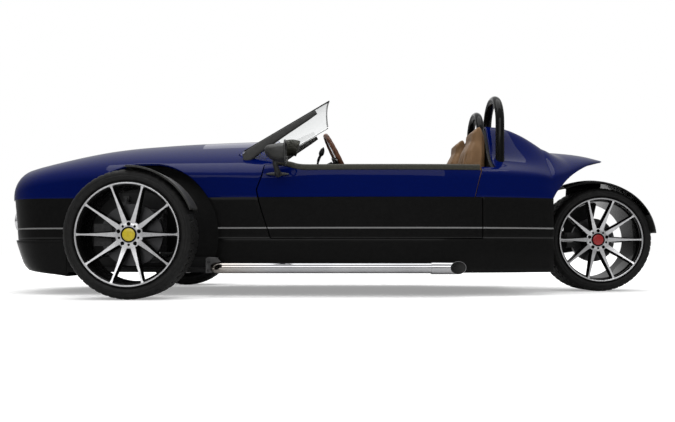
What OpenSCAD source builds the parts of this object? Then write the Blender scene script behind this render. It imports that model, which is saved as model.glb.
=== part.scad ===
// Open two-seat car on three wheels: two steered, driven wheels in front and one behind.
// +X runs to the rear, +Y to the car's right, +Z up. The origin is on the ground, at the middle.

/* [Chassis] */
// Distance from the front axle to the rear axle
wheelbase = 2600; // [2300:10:2900]
// Distance from the tip of the nose to the front axle
front_overhang = 840; // [760:5:920]
// Distance from the centre line to the middle of a front tyre
half_track = 761.5; // [745:0.5:800]
// Height of the underside of the floor
floor_z = 124; // [100:1:150]
// Thickness of the floor plate
floor_t = 26; // [12:1:40]
// Distance from the wheel's middle in to the steering axis
kingpin_in = 71.5; // [65:0.5:80]
// Distance from the steering axis back to the tie-rod pin
steer_arm = 120; // [100:1:135]

/* [Front wheels] */
// Outer radius of a front tyre
front_tyre_r = 320; // [300:1:330]
// Width of a front tyre
front_tyre_w = 225; // [195:1:235]
// Height of a front tyre's sidewall above the rim's flange
front_sidewall = 61; // [50:1:75]
// Depth of the front hub behind the rim's face
front_dish = 40; // [25:1:50]
// Distance from the front rim's flange in to the edge of its brake disc
front_disc_in = 104; // [98:1:125]

/* [Rear wheel] */
// Outer radius of the rear tyre
rear_tyre_r = 306; // [290:1:330]
// Width of the rear tyre
rear_tyre_w = 270; // [225:1:285]
// Height of the rear tyre's sidewall above the rim's flange
rear_sidewall = 56; // [48:1:75]
// Depth of the rear hub behind the rim's face
rear_dish = 50; // [35:1:60]
// Distance from the rear rim's flange in to the edge of its brake disc
rear_disc_in = 119; // [105:1:135]
// Distance from the rear tyre's side to the edge of its fender
rear_fender_side = 15; // [10:1:25]
// Gap between the rear tyre and its fender
rear_fender_gap = 12; // [10:1:25]
// Thickness of the rear fender
rear_fender_t = 10; // [6:1:14]

/* [Body widths] */
// Half width of the nose behind its rounded front
nose_half_w = 436; // [400:1:460]
// Half width at the front axle
arch_half_w = 500; // [470:1:510]
// Half width at the front of the doors
scuttle_half_w = 556; // [530:1:580]
// Half width at the middle of the doors
door_half_w = 590; // [560:1:620]
// Half width at the back of the doors
shoulder_half_w = 568; // [540:1:590]
// Half width where the side panels end
tail_half_w = 450; // [420:1:480]

/* [Body heights] */
// Height of the line between the upper and the lower body
split_z = 525; // [490:1:545]
// Crown height at the nose
nose_crown_z = 692; // [650:1:710]
// Crown height ahead of the front wheels
bonnet_crown_z = 827; // [790:1:840]
// Crown height over the front axle
axle_crown_z = 874; // [850:1:890]
// Crown height at the windscreen
scuttle_crown_z = 901; // [880:1:920]
// Height of the top edge of the doors
door_top_z = 697; // [660:1:720]
// Height of the bottom edge of the doors
door_low_z = 310; // [250:1:340]
// Height of the tail's ridge behind the seats
tail_ridge_z = 866; // [840:1:880]
// Height of the tip of the tail
tail_tip_z = 781; // [760:1:800]
// Height of a headrest hump above the tail around it
hump_rise = 157; // [60:1:170]
// Radius of the opening around a front wheel
arch_r = 400; // [380:1:420]

/* [Body lengths] */
// Distance from the front axle to the front of the doors
door_setback = 603; // [560:1:650]
// Distance from the back of the doors to the rear axle
door_to_axle = 801; // [760:1:860]
// Distance from the end of the side panels to the rear axle
panel_to_axle = 385; // [370:1:430]
// Distance that the tip of the tail reaches behind the rear axle
tail_reach = 47; // [0:1:120]

/* [Panels] */
// Thickness of the upper body's skin
skin_t = 12; // [6:1:16]
// Thickness of the lower body's walls
wall_t = 30; // [20:1:40]
// Thickness of a door
door_t = 60; // [50:1:70]
// Gap along the front edge of a door
door_front_gap = 10; // [10:0.5:12]
// Gap along the other edges of a door
door_gap = 6; // [5:0.5:8]

/* [Cabin] */
// Distance from the centre line to the middle of a seat
seat_y = 240; // [230:1:250]
// Width of a seat
seat_w = 420; // [380:1:430]
// Height of the top of a seat's back
seat_top_z = 962; // [900:1:980]
// Radius of the steering wheel
wheel_ring_r = 163; // [140:1:175]
// Height of the top of a roll hoop
hoop_top_z = 1125; // [1060:1:1160]
// Distance between the legs of a roll hoop
hoop_legs = 306; // [280:1:320]
// Diameter of a roll hoop's tube
hoop_d = 48; // [38:1:54]
// Slope of the windscreen
glass_slope = 30.5; // [28:0.5:36]
// Height of the top edge of the windscreen
glass_top_z = 1064; // [1000:1:1080]
// Half width of the windscreen
glass_half_w = 432; // [400:1:440]
// Thickness of the windscreen
glass_t = 6; // [4:1:8]

/* [Exhaust] */
// Diameter of an exhaust pipe
pipe_d = 58; // [45:1:65]
// Diameter of an exhaust tip
tip_d = 68; // [60:1:75]
// Distance from the centre line to an exhaust pipe
pipe_y = 645; // [640:1:665]
// Height of an exhaust pipe
pipe_z = 152; // [140:1:175]

/* [Hidden] */
$fn = 64;

// Gap between pieces that touch, running gap at a pin, and gap between pieces that move
seat_gap = 0.3;
run_gap = 0.05;
move_gap = 5;
eps = 0.01;

// Sizes that follow from the wheels
front_rim_r = front_tyre_r - front_sidewall;
front_disc_r = front_rim_r - front_disc_in;
rear_rim_r = rear_tyre_r - rear_sidewall;
rear_disc_r = rear_rim_r - rear_disc_in;

// Stations along the car
fender_end = 7;
rear_fender_w = rear_tyre_w + 2 * rear_fender_side;
rear_overhang = (rear_tyre_r + rear_fender_gap + rear_fender_t) * cos(fender_end);
length_all = front_overhang + wheelbase + rear_overhang;
nose_x = -length_all / 2;
front_x = nose_x + front_overhang;
rear_x = front_x + wheelbase;
door_front_x = front_x + door_setback;
door_rear_x = rear_x - door_to_axle;
door_mid_x = (door_front_x + door_rear_x) / 2;
panel_end_x = rear_x - panel_to_axle;
tail_tip_x = rear_x + tail_reach;
scuttle_end_x = door_front_x + 95;
bulkhead_x = door_rear_x + 89;
bulkhead_t = 16;
hoop_x = bulkhead_x + 48;
rear_wall_x = panel_end_x - 72;
kingpin_y = half_track - kingpin_in;

// ---------------------------------------------------------------- curves

// Index of the stretch of a curve that holds x
function stretch(p, x, i = 0) = (i >= len(p) - 2 || x < p[i + 1][0]) ? i : stretch(p, x, i + 1);

// Slope of a curve at its point i
function slope(p, i) = let (a = max(i - 1, 0), b = min(i + 1, len(p) - 1))
    (p[b][1] - p[a][1]) / (p[b][0] - p[a][0]);

// Smooth curve through the [x, value] points of p
function curve(p, x) = let (i = stretch(p, x), h = p[i + 1][0] - p[i][0],
    t = min(max((x - p[i][0]) / h, 0), 1), s = t * t, c = s * t)
    (2 * c - 3 * s + 1) * p[i][1] + (c - 2 * s + t) * h * slope(p, i)
    + (3 * s - 2 * c) * p[i + 1][1] + (c - s) * h * slope(p, i + 1);

// Straight line through two [x, value] points
function line(p, x) = let (i = stretch(p, x))
    p[i][1] + (p[i + 1][1] - p[i][1]) * (x - p[i][0]) / (p[i + 1][0] - p[i][0]);

// Half width of the body at its widest, the rounding of the nose left out
WIDTHS = [[nose_x + 120, nose_half_w], [front_x, arch_half_w], [door_front_x, scuttle_half_w],
    [door_mid_x, door_half_w], [door_rear_x, shoulder_half_w], [panel_end_x, tail_half_w],
    [tail_tip_x, tail_half_w - 230]];

// Rounding of the nose: its length in plan, and its length in the side view
nose_round = 283;
nose_rise = 120;
nose_start = 0.3;
function nose_part(x, l) = min(max((x - nose_x) / l, 0), 1);
function rounded(t, n) = pow(1 - pow(1 - t, 2), 1 / n);
function half_w(x) = curve(WIDTHS, x) * rounded(nose_part(x, nose_round), 3);

// Height of the bonnet along the centre line
CROWNS = [[nose_x, nose_crown_z], [front_x - 336, bonnet_crown_z], [front_x + 54, axle_crown_z],
    [door_front_x, scuttle_crown_z], [scuttle_end_x, scuttle_crown_z + 2]];
function crown_z(x) = split_z + (curve(CROWNS, x) - split_z) * rounded(nose_part(x, nose_rise), 2);

// Share of the bonnet's section that stands upright, and squareness of the rest: 2 is an ellipse
UPRIGHTS = [[nose_x, 0.05], [nose_x + 230, 0.3], [front_x, 0.34], [scuttle_end_x, 0.3]];
SQUARENESS = [[nose_x, 2.6], [nose_x + 260, 1.9], [front_x, 1.5], [door_front_x, 1.4], [scuttle_end_x, 1.4]];

// Point of a rounded section at angle a, of half width w and height h over the height z
function arc_point(a, n, w, z, h) = [
    w * sign(cos(a)) * pow(abs(cos(a)), 2 / n),
    z + h * pow(abs(sin(a)), 2 / n)];

// Tail: ridge, lower edge and half width of the edge behind the side panels
RIDGES = [[bulkhead_x, tail_ridge_z], [rear_x - 267, tail_ridge_z - 32], [rear_x - 111, tail_ridge_z - 49],
    [tail_tip_x, tail_tip_z + 4]];
EDGE_ZS = [[panel_end_x - 1, split_z], [panel_end_x + 30, split_z + 42], [rear_x - 246, split_z + 137],
    [rear_x - 90, split_z + 215], [tail_tip_x, tail_tip_z - 4]];
EDGE_WS = [[panel_end_x - 1, tail_half_w], [rear_x - 246, tail_half_w - 120],
    [rear_x - 90, tail_half_w - 270], [tail_tip_x, 12]];
function edge_z(x) = x < panel_end_x ? split_z : curve(EDGE_ZS, x);
function edge_w(x) = x < panel_end_x ? half_w(x) : curve(EDGE_WS, x);
TAIL_UPRIGHTS = [[bulkhead_x, 0.4], [panel_end_x, 0.35], [rear_x - 246, 0.15], [tail_tip_x, 0.05]];
TAIL_SQUARENESS = [[bulkhead_x, 1.15], [panel_end_x, 1.3], [tail_tip_x, 1.7]];
hump_half_w = 95;
hump_end_x = bulkhead_x + 470;
function hump(x, y) = let (t = min(max((x - bulkhead_x - 40) / (hump_end_x - bulkhead_x - 40), 0), 1))
    hump_rise * pow(cos(90 * t), 1.5) * exp(-pow((abs(y) - seat_y) / hump_half_w, 2));

// ---------------------------------------------------------------- shapes

// Solid through rings of points that all have the same number
module loft(rings) {
    n = len(rings[0]);
    m = len(rings);
    polyhedron(
        points = [for (ring = rings) each ring],
        faces = concat(
            [[for (j = [0:n - 1]) j]],
            [for (i = [0:m - 2], j = [0:n - 1]) let (k = (j + 1) % n)
                each [[i * n + j, (i + 1) * n + j, (i + 1) * n + k], [i * n + j, (i + 1) * n + k, i * n + k]]],
            [[for (j = [n - 1:-1:0]) (m - 1) * n + j]]),
        convexity = 6);
}

// Makes its children one mesh, cut and joined as a whole
module one_mesh() {
    resize([0, 0, 0]) union() children();
}

// Stations from a to b, closer together near a
function stations(a, b, count, power = 1) = [for (i = [0:count]) a + (b - a) * pow(i / count, power)];

section_steps = 20;

// Ring of the bonnet's section at x, drawn in by the distance inset, its base a little low where it cuts
function bonnet_ring(x, inset) = let (nose_shift = inset * (1 - nose_part(x, nose_round)),
    w = half_w(x - nose_shift) - inset, z = split_z - (inset > 0 ? 1 : 0),
    h = crown_z(x - nose_shift) - inset - z, upright = h * curve(UPRIGHTS, x), n = curve(SQUARENESS, x))
    concat([[x, w, z]], [for (i = [0:section_steps])
        let (p = arc_point(180 * i / section_steps, n, w, z + upright, h - upright)) [x, p[0], p[1]]],
    [[x, -w, z]]);

// Solid under the bonnet's outer face, drawn in by the distance inset
module bonnet_solid(inset, end_x) {
    first = nose_x + nose_start + max(inset, 0) * 1.2;
    xs = concat(stations(first, nose_x + nose_round, 7, 1.8),
        stations(nose_x + nose_round + 90, end_x, 14));
    loft([for (x = xs) bonnet_ring(x, inset)]);
}

// Ring of the tail's section at x, drawn in by the distance inset
function tail_ring(x, inset) = let (w = max(edge_w(x) - inset, 2), z = edge_z(x) - (inset > 0 ? 3 : 0),
    h = max(curve(RIDGES, x) - z - inset, 2), upright = h * curve(TAIL_UPRIGHTS, x),
    n = curve(TAIL_SQUARENESS, x))
    concat([[x, w, z]], [for (i = [0:2 * section_steps])
        let (p = arc_point(90 * i / section_steps, n, w, z + upright, h - upright))
        [x, p[0], p[1] + hump(x, p[0])]], [[x, -w, z]]);

module tail_solid(inset, from_x, to_x) {
    xs = concat(stations(from_x, panel_end_x, 7), stations(panel_end_x + 20, to_x, 11));
    loft([for (x = xs) tail_ring(x, inset)]);
}

// Point of the body's plan at station x, moved in square to the side by the distance inset
function plan_point(x, inset) = let (s = half_w(x + 0.5) - half_w(x - 0.5), l = sqrt(1 + s * s))
    [x + inset * s / l, half_w(x) - inset / l];

// Outline of the body's plan, from the rear left corner round the nose to the rear right corner
function side_points(xs, inset) = concat(
    [for (i = [len(xs) - 1:-1:0]) let (p = plan_point(xs[i], inset)) [p[0], -p[1]]],
    [for (x = xs) plan_point(x, inset)]);

// Half width between the walls or doors, thick t, at a cross wall around station x. The walls run straight
// from station to station, so the fit has some play.
wall_play = 3;
function half_between(x, t) = min(plan_point(x - 20, t)[1], plan_point(x + 20, t)[1]) - wall_play;

wall_stations = concat(stations(nose_x + nose_start, nose_x + nose_round, 6, 2),
    stations(nose_x + nose_round + 150, panel_end_x, 13));

module body_block(inset, from_z, to_z) {
    xs = inset > 0 ? concat(wall_stations, [panel_end_x + 60]) : wall_stations;
    translate([0, 0, from_z]) linear_extrude(to_z - from_z) polygon(side_points(xs, inset));
}

// Prism through the car, with its outline drawn in the side view
module side_prism(outline, from_y, to_y) {
    translate([0, to_y, 0]) rotate([90, 0, 0]) linear_extrude(to_y - from_y) polygon(outline);
}

// Draws a piece on the right side and its mirror image on the left
module both_sides() {
    children();
    mirror([0, 1, 0]) children();
}

module left_side() {
    mirror([0, 1, 0]) children();
}

// Cylinder along Y
module y_rod(r, from_y, to_y) {
    translate([0, to_y, 0]) rotate([90, 0, 0]) cylinder(r = r, h = to_y - from_y);
}

// Straight rod between two points
module rod(a, b, r) {
    d = b - a;
    translate(a) rotate([0, acos(d[2] / norm(d)), atan2(d[1], d[0])]) cylinder(r = r, h = norm(d));
}

// Body of revolution about Y, with its outline as [radius, y] points
module y_turned(outline) {
    rotate([-90, 0, 0]) rotate_extrude() polygon(outline);
}

// ---------------------------------------------------------------- upper body

// Outline of a door in the side view, grown by a gap at the front and by another elsewhere
function door_outline(front, gap) = [
    [door_front_x + 80 - front, door_low_z - gap],
    [door_front_x + 38 - front, split_z - 96],
    [door_front_x + 15 - front, split_z - 17],
    [door_front_x + 4 - front, split_z + 41],
    [door_front_x + 33 - front, split_z + 116],
    [door_front_x + 45 - front, door_top_z + gap],
    [door_rear_x + 5 + gap, door_top_z + gap],
    [door_rear_x - 41 + gap, split_z + 3 + gap / 2],
    [door_rear_x + gap, split_z - 12 + gap],
    [door_rear_x + gap, door_low_z - gap]];

module arch_cuts() {
    for (from_y = [-700, 330])
        translate([front_x, 0, front_tyre_r]) y_rod(arch_r, from_y, from_y + 370);
}

module bonnet() {
    color([0.02, 0.06, 0.3]) one_mesh() difference() {
        translate([0, 0, seat_gap]) bonnet_solid(0, scuttle_end_x);
        bonnet_solid(skin_t, scuttle_end_x + 1);
        arch_cuts();
        both_sides() side_prism(door_outline(door_front_gap, door_gap), 440, 700);
    }
}

// Strip of the upper side behind a door, as far back as the headrests' front
module rear_quarter() {
    intersection() {
        difference() {
            body_block(0, split_z + seat_gap, door_top_z - 7);
            body_block(door_t, split_z, door_top_z);
            side_prism(door_outline(door_front_gap, door_gap), 300, 700);
        }
        translate([door_rear_x - 60, 300, split_z]) cube([bulkhead_x + 90 - door_rear_x, 400, 300]);
    }
}

module hoop_feet(r) {
    for (side = [-1, 1], leg = [-1, 1])
        translate([hoop_x, side * seat_y + leg * hoop_legs / 2, split_z]) cylinder(r = r, h = 600);
}

module tail_deck() {
    color([0.02, 0.06, 0.3]) one_mesh() {
        difference() {
            translate([0, 0, seat_gap]) tail_solid(0, bulkhead_x, tail_tip_x);
            tail_solid(skin_t, bulkhead_x - 1, tail_tip_x - 90);
            hoop_feet(hoop_d / 2 + 1.5 * seat_gap);
        }
        difference() {
            both_sides() rear_quarter();
            tail_solid(skin_t / 2, bulkhead_x - 1, tail_tip_x - 90);
        }
    }
}

// ---------------------------------------------------------------- lower body

lip_top_z = 300;
lip_low_z = 100;
lip_end_x = front_x - arch_r - 35;
grille_w = 600;
grille_z = [lip_top_z + 16, split_z - 18];
lamp_y = 225;
lamp_r = 60;
lamp_z = (grille_z[0] + grille_z[1]) / 2;

// Rounded opening in the nose, drawn along X
module grille_shape(grow) {
    h = grille_z[1] - grille_z[0] + 2 * grow;
    w = grille_w + 2 * grow;
    r = 55 + grow;
    translate([nose_x - 5, 0, lamp_z]) rotate([90, 0, 90]) linear_extrude(150) union() {
        square([w - 2 * r, h], center = true);
        square([w, h - 2 * r], center = true);
        for (i = [-1, 1], k = [-1, 1]) translate([i * (w / 2 - r), k * (h / 2 - r)]) circle(r);
    }
}

// Hinge of a door: a pin on the sill below it, and an arm above that comes out from the dashboard
hinge_x = door_front_x + 100;
hinge_y = half_w(hinge_x) - 15;
hinge_arm_z = door_top_z - 42;
hinge_arm_t = 14;
pin_r = 5;
sill_pin_r = 7;
sill_pin_top_z = door_low_z + 30;

module lower_body() {
    color([0.03, 0.03, 0.03]) {
        difference() {
            body_block(0, floor_z, split_z);
            body_block(wall_t, floor_z - 1, split_z + 1);
            arch_cuts();
            both_sides() side_prism(door_outline(door_front_gap, door_gap), 440, 700);
            translate([nose_x - 1, -700, 0]) cube([lip_end_x - nose_x + 1, 1400, lip_top_z]);
            grille_shape(0);
        }
        both_sides() translate([hinge_x, hinge_y, door_low_z - 20])
            cylinder(r = sill_pin_r, h = sill_pin_top_z - door_low_z + 20);
    }
}

module nose_grille() {
    color([0.06, 0.06, 0.06]) difference() {
        intersection() {
            difference() {
                body_block(8, grille_z[0] - 5, grille_z[1] + 5);
                body_block(16, grille_z[0] - 6, grille_z[1] + 6);
            }
            grille_shape(-seat_gap);
        }
        for (side = [-1, 1]) translate([nose_x - 5, side * lamp_y, lamp_z])
            rotate([0, 90, 0]) cylinder(r = lamp_r + seat_gap, h = 160);
    }
}

module front_lip() {
    color([0.03, 0.03, 0.03]) hull() {
        intersection() {
            body_block(0, lip_top_z - 40, lip_top_z - seat_gap);
            translate([nose_x - 1, -700, 0]) cube([lip_end_x - nose_x - seat_gap + 1, 1400, lip_top_z]);
        }
        translate([75, 0, 0]) intersection() {
            body_block(14, lip_low_z, lip_low_z + 10);
            translate([nose_x - 1, -700, 0]) cube([lip_end_x - nose_x - 74 - seat_gap, 1400, lip_top_z]);
        }
    }
}

module head_lamps() {
    color([0.85, 0.87, 0.9]) for (side = [-1, 1])
        translate([nose_x + 47, side * lamp_y, lamp_z]) rotate([0, 90, 0]) cylinder(r = lamp_r, h = 60);
}

module tail_lamps() {
    color([0.6, 0.02, 0.02]) for (side = [-1, 1])
        translate([rear_wall_x + 16 + seat_gap, side * 330, split_z - 95])
            rotate([0, 90, 0]) cylinder(r = 42, h = 28);
}

// ---------------------------------------------------------------- chassis

floor_top_z = floor_z + floor_t;
firewall_x = front_x + arch_r + 20;
rail_y = 380;
low_arm_z = floor_top_z + 40;
high_arm_z = low_arm_z + 260;
tower_top_z = high_arm_z + 110;
swing_x = rear_wall_x + 50;
swing_z = 250;
arm_y = rear_fender_w / 2 + 6 + seat_gap;
arm_t = 50;
swing_pin_r = 14;
tow_r = 8;
rack_x = front_x + steer_arm;
rack_z = low_arm_z + 34;
rack_r = 12;

// Cross wall at station x, thick t: half width w from height z up to the foot of its ring, and the ring above
module cross_wall(x, t, z, w, ring) {
    foot = ring[0][2];
    translate([x, 0, 0]) rotate([90, 0, 90]) linear_extrude(t)
        polygon(concat([for (p = ring) [p[1], p[2]]], [[-w, foot], [-w, z], [w, z], [w, foot]]));
}

module chassis() {
    color([0.1, 0.1, 0.11]) difference() {
        union() {
            intersection() {
                body_block(wall_t + seat_gap, floor_z, floor_top_z);
                translate([lip_end_x, -700, 0]) cube([rear_wall_x + 16 - lip_end_x, 1400, 900]);
            }
            intersection() {
                body_block(wall_t + seat_gap, floor_z, split_z - 2);
                translate([rear_wall_x, -700, 0]) cube([16, 1400, 900]);
            }
            cross_wall(firewall_x, 14, floor_top_z, half_between(firewall_x + 7, wall_t),
                [for (p = bonnet_ring(firewall_x, skin_t + 3)) [p[0], p[1], max(p[2], split_z)]]);
            both_sides() {
                translate([lip_end_x, rail_y - 50, floor_top_z]) cube([firewall_x - lip_end_x, 50, 55]);
                translate([front_x - 155, rail_y - 35, floor_top_z]) cube([245, 35, tower_top_z - floor_top_z]);
            }
            for (y = [-arm_y - 30, arm_y + arm_t + seat_gap]) {
                translate([rear_wall_x + 10, y, swing_z - 30]) cube([swing_x - rear_wall_x - 10, 30, 60]);
                translate([swing_x, 0, swing_z]) y_rod(30, y, y + 30);
            }
            translate([rear_wall_x + 10, -250, floor_top_z + 50]) rotate([0, 90, 0]) cylinder(r = 20, h = 34);
            translate([rack_x, 0, rack_z]) y_rod(24, -290, 290);
            both_sides() translate([rack_x - 20, 190, floor_top_z]) cube([40, 36, rack_z - floor_top_z]);
        }
        translate([rack_x, 0, rack_z]) y_rod(rack_r + run_gap, -291, 291);
        translate([rear_wall_x + 4, -250, floor_top_z + 50]) rotate([0, 90, 0]) cylinder(r = tow_r, h = 50);
        translate([front_x, 0, front_tyre_r]) y_rod(40, -rail_y - 5, rail_y + 5);
        translate([swing_x, 0, swing_z]) y_rod(swing_pin_r + run_gap, -arm_y - 40, arm_y + arm_t + 40);
    }
}

module cabin_bulkhead() {
    mid_x = bulkhead_x - bulkhead_t / 2;
    w = half_between(mid_x, door_t) - 3 * seat_gap;
    color([0.08, 0.08, 0.1]) {
        cross_wall(bulkhead_x - bulkhead_t, bulkhead_t, floor_top_z + seat_gap, half_between(mid_x, wall_t),
            [for (p = tail_ring(bulkhead_x, skin_t + 2)) [p[0], min(max(p[1], -w), w), p[2]]]);
        translate([bulkhead_x - 1, -430, split_z - 5]) cube([hoop_x - bulkhead_x + 40, 860, 40]);
    }
}

module engine_block() {
    color([0.25, 0.25, 0.26]) translate([front_x - 347, -230, floor_top_z + seat_gap]) cube([430, 460, 450]);
}

// ---------------------------------------------------------------- front suspension, right side

arm_r = 12;
arm_in_y = rail_y + arm_r + 1.3;
joint_pin_r = 8;

// One wishbone: two legs, an inner eye at each, and the outer joint with its pin
module wishbone(z, half_base, pin_from, pin_to) {
    for (side = [-1, 1]) {
        rod([front_x + side * half_base, arm_in_y, z], [front_x, kingpin_y, z], arm_r);
        translate([front_x + side * half_base - 12, arm_in_y, z]) rotate([0, 90, 0]) cylinder(r = arm_r + 1, h = 24);
    }
    translate([front_x, kingpin_y, z - arm_r]) cylinder(r = 22, h = 2 * arm_r);
    translate([front_x, kingpin_y, pin_from]) cylinder(r = joint_pin_r, h = pin_to - pin_from);
}

module wishbones() {
    color([0.12, 0.12, 0.12]) both_sides() {
        wishbone(low_arm_z, 150, low_arm_z, low_arm_z + 36);
        wishbone(high_arm_z, 80, high_arm_z - 36, high_arm_z);
    }
}

module dampers() {
    low = [front_x - 126, arm_in_y + 50, low_arm_z + 40];
    high = [front_x - 126, rail_y + 29, tower_top_z - 30];
    color([0.35, 0.35, 0.36]) both_sides() {
        rod(low, high, 10);
        rod(low + 0.3 * (high - low), low + 0.92 * (high - low), 26);
        translate(low) rotate([0, 90, 0]) translate([0, 0, -12]) cylinder(r = 16, h = 24);
        translate([low[0] - 8, low[1] - 8, low_arm_z + arm_r + seat_gap]) cube([16, 16, 20]);
        translate([high[0] - 15, rail_y + seat_gap, high[2] - 12]) cube([30, 30, 24]);
    }
}

module tie_rods() {
    color([0.55, 0.55, 0.57]) {
        translate([rack_x, 0, rack_z]) y_rod(rack_r, -365, 365);
        both_sides() {
            translate([rack_x, 0, rack_z]) y_rod(8, 360, kingpin_y);
            translate([rack_x, kingpin_y, rack_z - 10]) cylinder(r = 15, h = 20);
        }
    }
}

joint_ball_r = 35;

module drive_shafts() {
    color([0.3, 0.3, 0.31]) both_sides() translate([front_x, 0, front_tyre_r]) {
        y_rod(14, 230 + seat_gap, kingpin_y);
        y_rod(32, 232, 300);
        translate([0, kingpin_y, 0]) sphere(r = joint_ball_r);
    }
}

hub_r = 33;
hub_face_y = half_track + front_tyre_w / 2 - 6 - front_dish;
disc_t = 24;
disc_y = hub_face_y - 83;

// Carrier between the two wishbones, with its stub axle, its steering arm and the fender's stay
module knuckle() {
    in_y = kingpin_y + 15;
    out_y = kingpin_y + 45;
    top_z = high_arm_z - arm_r - seat_gap;
    low_z = low_arm_z + arm_r + seat_gap;
    difference() {
        union() {
            translate([front_x, 0, front_tyre_r]) y_rod(62, in_y, out_y + 5);
            for (z = [low_z, front_tyre_r + 48]) translate([front_x - 20, in_y, z])
                cube([40, out_y - in_y, z < front_tyre_r ? front_tyre_r - 48 - low_z : top_z - z]);
            for (z = [low_z, top_z - 25]) translate([front_x - 20, kingpin_y - 22, z]) cube([40, 60, 25]);
            translate([front_x - 20, kingpin_y - 12, low_z + 36]) cube([steer_arm + 34, 32, 18]);
            translate([front_x, 0, front_tyre_r]) y_rod(hub_r, out_y, hub_face_y - 13);
            translate([front_x - 100, in_y + 5, front_tyre_r - 20]) cube([60, out_y - in_y - 7.3, 40]);
        }
        translate([front_x, 0, front_tyre_r]) y_rod(43, in_y - 1, out_y);
        for (z = [low_z - 1, top_z - 27])
            translate([front_x, kingpin_y, z]) cylinder(r = joint_pin_r + run_gap, h = 28);
        translate([rack_x, kingpin_y, low_z]) cylinder(r = joint_pin_r, h = 60);
    }
}

module knuckle_left() {
    color([0.3, 0.3, 0.3]) left_side() knuckle();
}

module knuckle_right() {
    color([0.3, 0.3, 0.3]) knuckle();
}

module front_caliper() {
    from_y = kingpin_y + 43;
    difference() {
        translate([front_x - front_disc_r - 30, from_y, front_tyre_r - 55])
            cube([90, disc_y + disc_t + 12 - from_y, 110]);
        translate([front_x, 0, front_tyre_r]) y_rod(front_disc_r + 4, disc_y - 2, disc_y + disc_t + 2);
    }
}

module front_caliper_left() {
    color([0.2, 0.2, 0.2]) left_side() front_caliper();
}

module front_caliper_right() {
    color([0.2, 0.2, 0.2]) front_caliper();
}

fender_in_r = front_tyre_r + 12;
fender_t = 8;

// Narrow fender over the top and back of a front tyre, on a bent stay from the knuckle
module front_fender() {
    half = front_tyre_w / 2 - 5;
    stay_y = half_track - front_tyre_w / 2 - 16;
    stay_r = 6;
    joint_r = stay_r + 2;
    a = [front_x + 12, kingpin_y + 15 - joint_r - seat_gap, front_tyre_r + 66];
    b = [front_x + 120, stay_y, front_tyre_r + 84];
    c = [front_x + fender_in_r * cos(60), stay_y, front_tyre_r + (fender_in_r + 4) * sin(60)];
    d = c + [0, 26, 0];
    translate([front_x, half_track, front_tyre_r]) rotate([-90, 0, 0]) rotate([0, 0, -92])
        rotate_extrude(angle = 70) translate([fender_in_r, -half]) square([fender_t, 2 * half]);
    rod(a, b, stay_r);
    rod(b, c, stay_r);
    rod(c, d, stay_r);
    for (p = [a, b, c]) translate(p) sphere(r = joint_r);
}

module front_fender_left() {
    color([0.12, 0.12, 0.12]) left_side() front_fender();
}

module front_fender_right() {
    color([0.12, 0.12, 0.12]) front_fender();
}

// ---------------------------------------------------------------- wheels

// Tyre about Y, its middle at y = 0
module tyre(r, w, bead_r) {
    h = w / 2;
    y_turned([[bead_r, -h + 18], [bead_r + 20, -h + 14], [bead_r + 30, -h + 3], [bead_r + 42, -h],
        [r - 14, -h + 6], [r - 5, -h + 16], [r, -h + 34], [r, h - 34], [r - 5, h - 16], [r - 14, h - 6],
        [bead_r + 42, h], [bead_r + 30, h - 3], [bead_r + 20, h - 14], [bead_r, h - 18]]);
}

// Rim about Y, its face at y = face, its inner edge at y = back, ten spokes and a hub with a blind bore
module rim(flange_r, face, back, hub_y, mount_y, bore_r) {
    seat_r = flange_r - 17;
    out = face > back ? 1 : -1;
    difference() {
        union() {
            y_turned([[flange_r, face], [flange_r, face - 7 * out], [seat_r, face - 11 * out],
                [seat_r, back + 11 * out], [flange_r, back + 7 * out], [flange_r, back],
                [flange_r - 9, back], [seat_r - 8, back + 8 * out], [seat_r - 8, face - 18 * out],
                [flange_r - 9, face]]);
            y_rod(75, min(hub_y, mount_y), max(hub_y, mount_y));
            for (i = [0:9]) rotate([0, 36 * i, 0]) translate([0, 0, -14]) linear_extrude(28)
                polygon([[68, hub_y - 28 * out], [seat_r - 6, face - 34 * out], [seat_r - 6, face - 6 * out],
                    [68, hub_y]]);
        }
        y_rod(bore_r, min(mount_y - out, hub_y - 12 * out), max(mount_y - out, hub_y - 12 * out));
        for (i = [0:4]) rotate([0, 72 * i + 18, 0]) translate([56, 0, 0])
            y_rod(8, min(hub_y, mount_y) - 1, max(hub_y, mount_y) + 1);
    }
}

module disc(r, bore_r, t) {
    difference() {
        y_rod(r, 0, t);
        y_rod(bore_r, -1, t + 1);
    }
}

module front_disc() {
    translate([front_x, disc_y, front_tyre_r]) disc(front_disc_r, hub_r + run_gap, disc_t);
}

module front_disc_left() {
    color([0.5, 0.5, 0.5]) left_side() front_disc();
}

module front_disc_right() {
    color([0.5, 0.5, 0.5]) front_disc();
}

module front_rim() {
    face_y = half_track + front_tyre_w / 2 - 6;
    translate([front_x, 0, front_tyre_r])
        rim(front_rim_r, face_y, face_y - front_tyre_w + 12, hub_face_y, disc_y + disc_t, hub_r + run_gap);
}

module front_rim_left() {
    color([0.6, 0.6, 0.62]) left_side() front_rim();
}

module front_rim_right() {
    color([0.6, 0.6, 0.62]) front_rim();
}

module front_tyre() {
    translate([front_x, half_track, front_tyre_r])
        tyre(front_tyre_r, front_tyre_w, front_rim_r - 17 + seat_gap);
}

module front_tyre_left() {
    color([0.05, 0.05, 0.05]) left_side() front_tyre();
}

module front_tyre_right() {
    color([0.05, 0.05, 0.05]) front_tyre();
}

rear_hub_r = 30;
rear_face_y = -rear_tyre_w / 2 + 3;
rear_back_y = rear_tyre_w / 2 - 6;
rear_hub_y = rear_face_y + rear_dish;
rear_disc_y = 5;
rear_disc_t = 20;

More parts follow.
